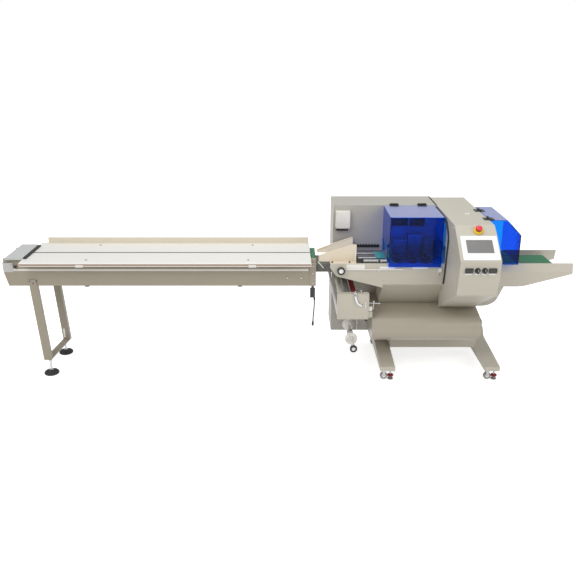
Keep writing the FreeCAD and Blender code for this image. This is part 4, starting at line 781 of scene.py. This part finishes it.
# %% Dress the cabinet and the hinges
CABINET_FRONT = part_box("rear_cabinet")[0].y
windows = Piece("cabinet_windows", "meter")
for low, high in ((0.726, 0.836), (0.849, 0.953)):
    windows.add(slab(high - low, 0.057, 0.002, 3 * MM), front((low + high) / 2, CABINET_FRONT, 1.0135))
windows.done()
frames = Piece("window_frames", "steel")
frames.add(slab(0.009, 0.070, 0.004), front(0.8425, CABINET_FRONT, 1.0135))
frames.add(slab(0.240, 0.006, 0.004), front(0.840, CABINET_FRONT, 0.982))
frames.done()
WALL_BOX_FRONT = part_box("wall_box")[0].y
LID_X, LID_Z, LID_WALL = 0.3865, 1.0335, 0.003
LID = front(LID_X, WALL_BOX_FRONT, LID_Z)
Piece("wall_box_lid", "pale").add(slab(0.093, 0.113, LID_WALL, 5 * MM, 1.2 * MM), LID).done()
LID_SCREWS = [front(LID_X + dx, WALL_BOX_FRONT - LID_WALL, LID_Z + dz)
              for dx in (-0.04, 0.04) for dz in (-0.05, 0.05)]
screws("wall_box_screws", "steel", LID_SCREWS, 2.5 * MM, 1.5 * MM)
Piece("wall_box_foot", "black").add(slab(0.083, 0.016, 0.030, 3 * MM), front(0.3830, CABINET_FRONT, 0.9650)).done()

# two screws in each leaf of the four hinges: the base leaves stay, the others swing with their guard
FRONT_PLACES = [x + dx for x in (0.735, 0.926) for dx in (-0.018, 0.018)]
TAIL_PLACES = [y + dy for y in (-0.1422, 0.0918) for dy in (-0.018, 0.018)]
HINGE_SCREWS = {
    "front_base_screws": ([top(x, 0.2555, 1.132) for x in FRONT_PLACES], "frame"),
    "front_leaf_screws": ([top(x, 0.2115, 1.132) for x in FRONT_PLACES], "front_guard"),
    "tail_base_screws": ([top(1.2575, y, 1.128) for y in TAIL_PLACES], "frame"),
    "tail_leaf_screws": ([top(1.3015, y, 1.128) for y in TAIL_PLACES], "outfeed_guard"),
}
for name, (seats, body) in HINGE_SCREWS.items():
    screws(name, "dark_steel", seats, 3 * MM, 2 * MM, body)

# the fin-seal wheels: three pairs, one wheel on each side of the film
FIN_WHEEL = [(0.012, -0.030), (0.012, 0), (0.033, 0), (0.034, 0.001), (0.034, 0.011), (0.033, 0.012), (0.018, 0.012),
             (0.017, 0.009), (0.010, 0.009), (0.010, 0.016)]
FIN_NUT = [(0.008, 0.009), (0.008, 0.024)]
FIN_MIDDLE = (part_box("fin_seal_wheels")[0].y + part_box("fin_seal_wheels")[1].y) / 2
fin_wheels = Piece("fin_wheels", "dark_steel")
for x in (0.755, 0.850, 0.945):
    for y in (FIN_MIDDLE - 0.0355, FIN_MIDDLE + 0.0355):
        where = top(x, y, 0.790)
        fin_wheels.add(turned(FIN_WHEEL, 48, 48, 0.5 * MM), where).add(turned(FIN_NUT, 6), where)
fin_wheels.done(["fin_seal_wheels"])
print(len(PIECES), "pieces so far")

# %% [markdown]
# ## Console
#
# The controls sit on three slanted faces, so each face has a seat of its own, found from two corners of the
# console's outline. A black rubber trim runs down the console's left side.

# %% Dress the console
def facet(x, low, high, share):
    """A seat on a slanted face, `share` of the way from its low corner (y, z) to its high one."""
    low, high = np.array(low), np.array(high)
    y, z = low + (high - low) * share
    return seat((x, y, z), (1, 0, 0), (0, *(high - low)))


BROW, SCREEN_TOP, NOSE, SILL = (-0.2887, 1.1240), (-0.3627, 1.0770), (-0.5137, 0.9570), (-0.4987, 0.8200)
STOP_SEAT = facet(1.167, SCREEN_TOP, BROW, 0.4)
CONTROL_Z = 0.900
CONTROL_SHARE = (CONTROL_Z - SILL[1]) / (NOSE[1] - SILL[1])
STOP_PLATE = [(0.008, 0), (0.029, 0), (0.030, 0.001), (0.030, 0.008), (0.0285, 0.011), (0.026, 0.012), (0.008, 0.012),
              (0.008, 0)]
STOP_COLLAR = [(0.0085, 0.011), (0.0165, 0.011), (0.0165, 0.0155), (0.015, 0.017), (0.0085, 0.017), (0.0085, 0.011)]
MUSHROOM = [(0.005, 0.0065), (0.005, 0.0215), (0.0150, 0.0218), (0.0195, 0.0225), (0.0210, 0.0245), (0.0210, 0.0275),
            (0.0195, 0.0312), (0.0160, 0.0340), (0.0110, 0.0360), (0.0050, 0.0368), (0.0010, 0.0370)]
Piece("stop_plate", "yellow").add(turned(STOP_PLATE, 48), STOP_SEAT, caps=False).done(["stop_button_base"])
Piece("stop_collar", "black").add(turned(STOP_COLLAR, 40), STOP_SEAT, caps=False).done()
Piece("stop_mushroom", "red", "stop_button").add(turned(MUSHROOM, 48), STOP_SEAT).done(["stop_button"])

# the meters, the selector knobs and their blank labels
def lifted(where, y, z):
    """The seat moved by y up its face and z out of it."""
    return where @ top(0, y, z)


METER_RIM = [(0.006, 0), (0.0078, 0), (0.0082, 0.0008), (0.0082, 0.002), (0.0070, 0.0028)]
WASHER = [(0.0175, 0), (0.0190, 0), (0.0190, 0.0012), (0.0175, 0.0018), (0.0175, 0)]
SKIRT = [(0.0170, 0.0004), (0.0170, 0.0045), (0.0155, 0.0065), (0.0120, 0.0075), (0.0110, 0.0120), (0.006, 0.0130)]
GRIP = [(0.0050, 0), (0.0190, 0.0003), (0.0212, 0.0010), (0.0222, 0.0024)]
meter_rims = Piece("meter_rims", "black")
meter_glass = Piece("meter_glass", "meter")
labels = Piece("blank_labels", "white")
for x in (1.087, 1.228):
    where = facet(x, SILL, NOSE, CONTROL_SHARE)
    meter_rims.add(raised(rounded(0.048, 0.029, 0.003), METER_RIM), where, caps=False)
    meter_glass.add(slab(0.043, 0.024, 0.0004, 1 * MM, 0.2 * MM), lifted(where, 0, 0.0070))
    labels.add(slab(0.040, 0.007, 0.0008, 0.5 * MM, 0.3 * MM), lifted(where, -0.0235, 0))
meter_rims.done()
meter_glass.done()
washers = Piece("knob_washers", "grey")
for side, x in (("left", 1.137), ("right", 1.180)):
    where = facet(x, SILL, NOSE, CONTROL_SHARE)
    washers.add(turned(WASHER, 40), where, caps=False)
    labels.add(slab(0.026, 0.007, 0.0008, 0.5 * MM, 0.3 * MM), lifted(where, -0.0245, 0))
    knob = Piece(f"knob_{side}", "black", f"selector_knob_{side}")
    knob.add(turned(SKIRT, 40), where)
    knob.add(raised(rounded(0.0095, 0.0320, 0.0040), GRIP), where)
    knob.done([f"selector_knob_{side}"])
    Piece(f"knob_mark_{side}", "white", f"selector_knob_{side}").add(
        slab(0.0016, 0.0120, 0.0004, 0.4 * MM, 0.1 * MM), lifted(where, 0.0080, 0.0221)).done()
washers.done()
labels.done()

# the console's left side: rubber trim, screws, and dark plates behind the louvres that the CAD cuts, painted shade in
# the slots
LEFT_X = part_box("console")[0].x
TRIM = ((0.5000, 1.1215), (0.2500, 1.1150), (-0.0140, 1.1045), (-0.0950, 1.0930), (-0.1400, 1.0600),
        (-0.1800, 1.0050), (-0.1720, 0.9100), (-0.1620, 0.8250), (-0.1470, 0.7400), (-0.1310, 0.6900))
trim_path = smooth([(LEFT_X - 0.005, y, z) for y, z in TRIM])
Piece("console_trim", "tyre").add(swept(trim_path, rounded(0.010, 0.012, 0.003), (1, 0, 0))).done()
SIDE_SCREWS = [left(LEFT_X, y, z) for y, z in ((-0.248, 1.100), (-0.235, 0.9945))]
screws("console_screws", "bright", SIDE_SCREWS, 5 * MM, 3 * MM)
# dark plates just inside the louvre cuts: painted shade
louvre_shade = Piece("louvre_shade_backs", "dark_steel")
for y in PLATE_FRONT - 0.120 - 0.050 * np.arange(5):
    slot = [(-y, 0.935), (-y - 0.012, 0.935), (-y - 0.038, 0.965), (-y - 0.026, 0.965)]
    louvre_shade.add(raised(slot, [(-0.004, 0), (-0.003, 0)]), left(LEFT_X, 0, 0))
louvre_shade.done()
seam_path = smooth([(1.026, 0.5100, 1.1275), (1.026, 0.2400, 1.1275)])
Piece("top_seam", "tyre").add(swept(seam_path, rounded(0.010, 0.006, 0.002))).done()

# the lock on top
LOCK = top(1.1790, 0.0010, 1.1240)
LOCK_RING = [(0.0150, 0), (0.0150, 0.003), (0.0135, 0.0045), (0.0075, 0.0045), (0.0070, 0.003)]
LOCK_CORE = [(0.0070, 0.001), (0.0070, 0.0040), (0.0060, 0.0048)]
Piece("top_lock", "white").add(turned(LOCK_RING, 32), LOCK).done()
Piece("lock_core", "dark_steel").add(turned(LOCK_CORE, 24), LOCK).done()
print(len(PIECES), "pieces so far")

# %% [markdown]
# ## Base, drum and casters

# %% Dress the base
GLAND = [(0.020, 0), (0.026, 0), (0.028, 0.002), (0.028, 0.009), (0.025, 0.011), (0.012, 0.011), (0.011, 0.008)]
Piece("drum_gland", "black").add(turned(GLAND, 40), right(1.2920, -0.1180, 0.4080)).done()

# casters: a wheel with a hub on each side, and a screw-down pad with its thumb ring
TYRE = [(0.0150, -0.0095), (0.0235, -0.0100), (0.0250, -0.0075), (0.0250, 0.0075), (0.0235, 0.0100), (0.0150, 0.0095)]
OUTER_HUB = [(0.0060, 0.0090), (0.0150, 0.0098), (0.0140, 0.0112), (0.0050, 0.0115)]
INNER_HUB = [(0.0060, -0.0112), (0.0150, -0.0098), (0.0140, -0.0090), (0.0050, -0.0088)]
AXLE = [(0.0045, -0.0160), (0.0045, 0.0160)]
STAND = [(0.0190, 0), (0.0200, 0.0010), (0.0200, 0.0080), (0.0170, 0.0100), (0.0060, 0.0120), (0.0060, 0.0735)]
THUMB = [(0.0060, 0.024), (0.0190, 0.024), (0.0210, 0.026), (0.0210, 0.034), (0.0190, 0.036), (0.0060, 0.036)]
wheels = Piece("caster_tyres", "grey_tyre")
hubs = Piece("caster_hubs", "bright")
thumbs = Piece("caster_thumbs", "red_rubber")
stands = Piece("caster_stands", "steel")
for x in (0.685, 1.393):
    for y in (-0.1387, 0.4463):
        wheel, pad = front(x - 0.020, y, 0.0275), top(x + 0.026, y, 0)
        wheels.add(turned(TYRE, 40), wheel)
        hubs.add(turned(OUTER_HUB, 32), wheel).add(turned(INNER_HUB, 32), wheel).add(turned(AXLE, 12), wheel)
        stands.add(turned(STAND, 32), pad)
        thumbs.add(turned(THUMB, 60, 12, 1.2 * MM), pad)
wheels.done(["caster_wheels"])
hubs.done()
thumbs.done(["caster_pads"])
stands.done()
print(len(PIECES), "pieces in all")

# %% [markdown]
# ## Light and floor
#
# Soft boxes light the machine from the front left, the front right and above. The floor and the world are
# white to the rays that look at them, and the floor still takes the machine's shadow.

# %% Floor, lamps and world
def seen(finish):
    """1 for the rays that look: from the camera, by a gloss or through a clear sheet."""
    looks = ("Is Camera Ray", "Is Glossy Ray", "Is Transmission Ray")
    direct, gloss, clear = (finish.node("LightPath", output=look) for look in looks)
    return direct.math("MAXIMUM", direct, gloss.math("MAXIMUM", gloss, clear))


FLOOR = 30
corners = [(-FLOOR, -FLOOR, 0), (FLOOR, -FLOOR, 0), (FLOOR, FLOOR, 0), (-FLOOR, FLOOR, 0)]
mesh = bpy.data.meshes.new("floor")
mesh.from_pydata(corners, [], [(0, 1, 2, 3)])
floor = bpy.data.objects.new("floor", mesh)
bpy.context.scene.collection.objects.link(floor)
finish = Finish("floor_white", Base_Color=(0.80, 0.80, 0.80, 1), Roughness=0.9, Specular_IOR_Level=0.0)
glow = finish.node("Emission", {}, {"Color": (1, 1, 1, 1), "Strength": seen(finish) * 0.66})
lit = Wire(finish, finish.shader.outputs[0])
finish.surface(finish.node("AddShader", {}, {0: lit, 1: glow}))
floor.data.materials.append(finish.material)

world = bpy.data.worlds.new("studio")
bpy.context.scene.world = world
world.use_nodes = True
nodes, links = world.node_tree.nodes, world.node_tree.links
paths = nodes.new("ShaderNodeLightPath")
white = nodes.new("ShaderNodeMath")
white.operation = "MAXIMUM"
links.new(paths.outputs["Is Camera Ray"], white.inputs[0])
links.new(paths.outputs["Is Transmission Ray"], white.inputs[1])
strength = nodes.new("ShaderNodeMapRange")
links.new(white.outputs[0], strength.inputs["Value"])
strength.inputs["To Min"].default_value = 0.55
strength.inputs["To Max"].default_value = 1.0
links.new(strength.outputs[0], nodes["Background"].inputs["Strength"])
nodes["Background"].inputs["Color"].default_value = (1, 1, 1, 1)


def lamp(name, place, target, size, power, colour=(1, 1, 1)):
    """A square soft box that faces its target."""
    data = bpy.data.lights.new(name, "AREA")
    data.size, data.energy, data.color = size, power, colour
    made = bpy.data.objects.new(name, data)
    made.location = place
    made.rotation_euler = Vector(np.subtract(target, place)).to_track_quat("-Z", "Y").to_euler()
    bpy.context.scene.collection.objects.link(made)


lamp("key", (-2.5, -4.0, 4.5), (0.2, 0, 0.7), 3.0, 120)
lamp("fill", (3.5, -3.5, 3.0), (0.6, 0, 0.6), 3.0, 70)
lamp("above", (0.0, 0.5, 5.0), (0, 0, 0.8), 4.0, 95, (0.90, 0.96, 1.0))
bpy.context.scene.view_settings.view_transform = "Standard"
print("3 soft boxes")
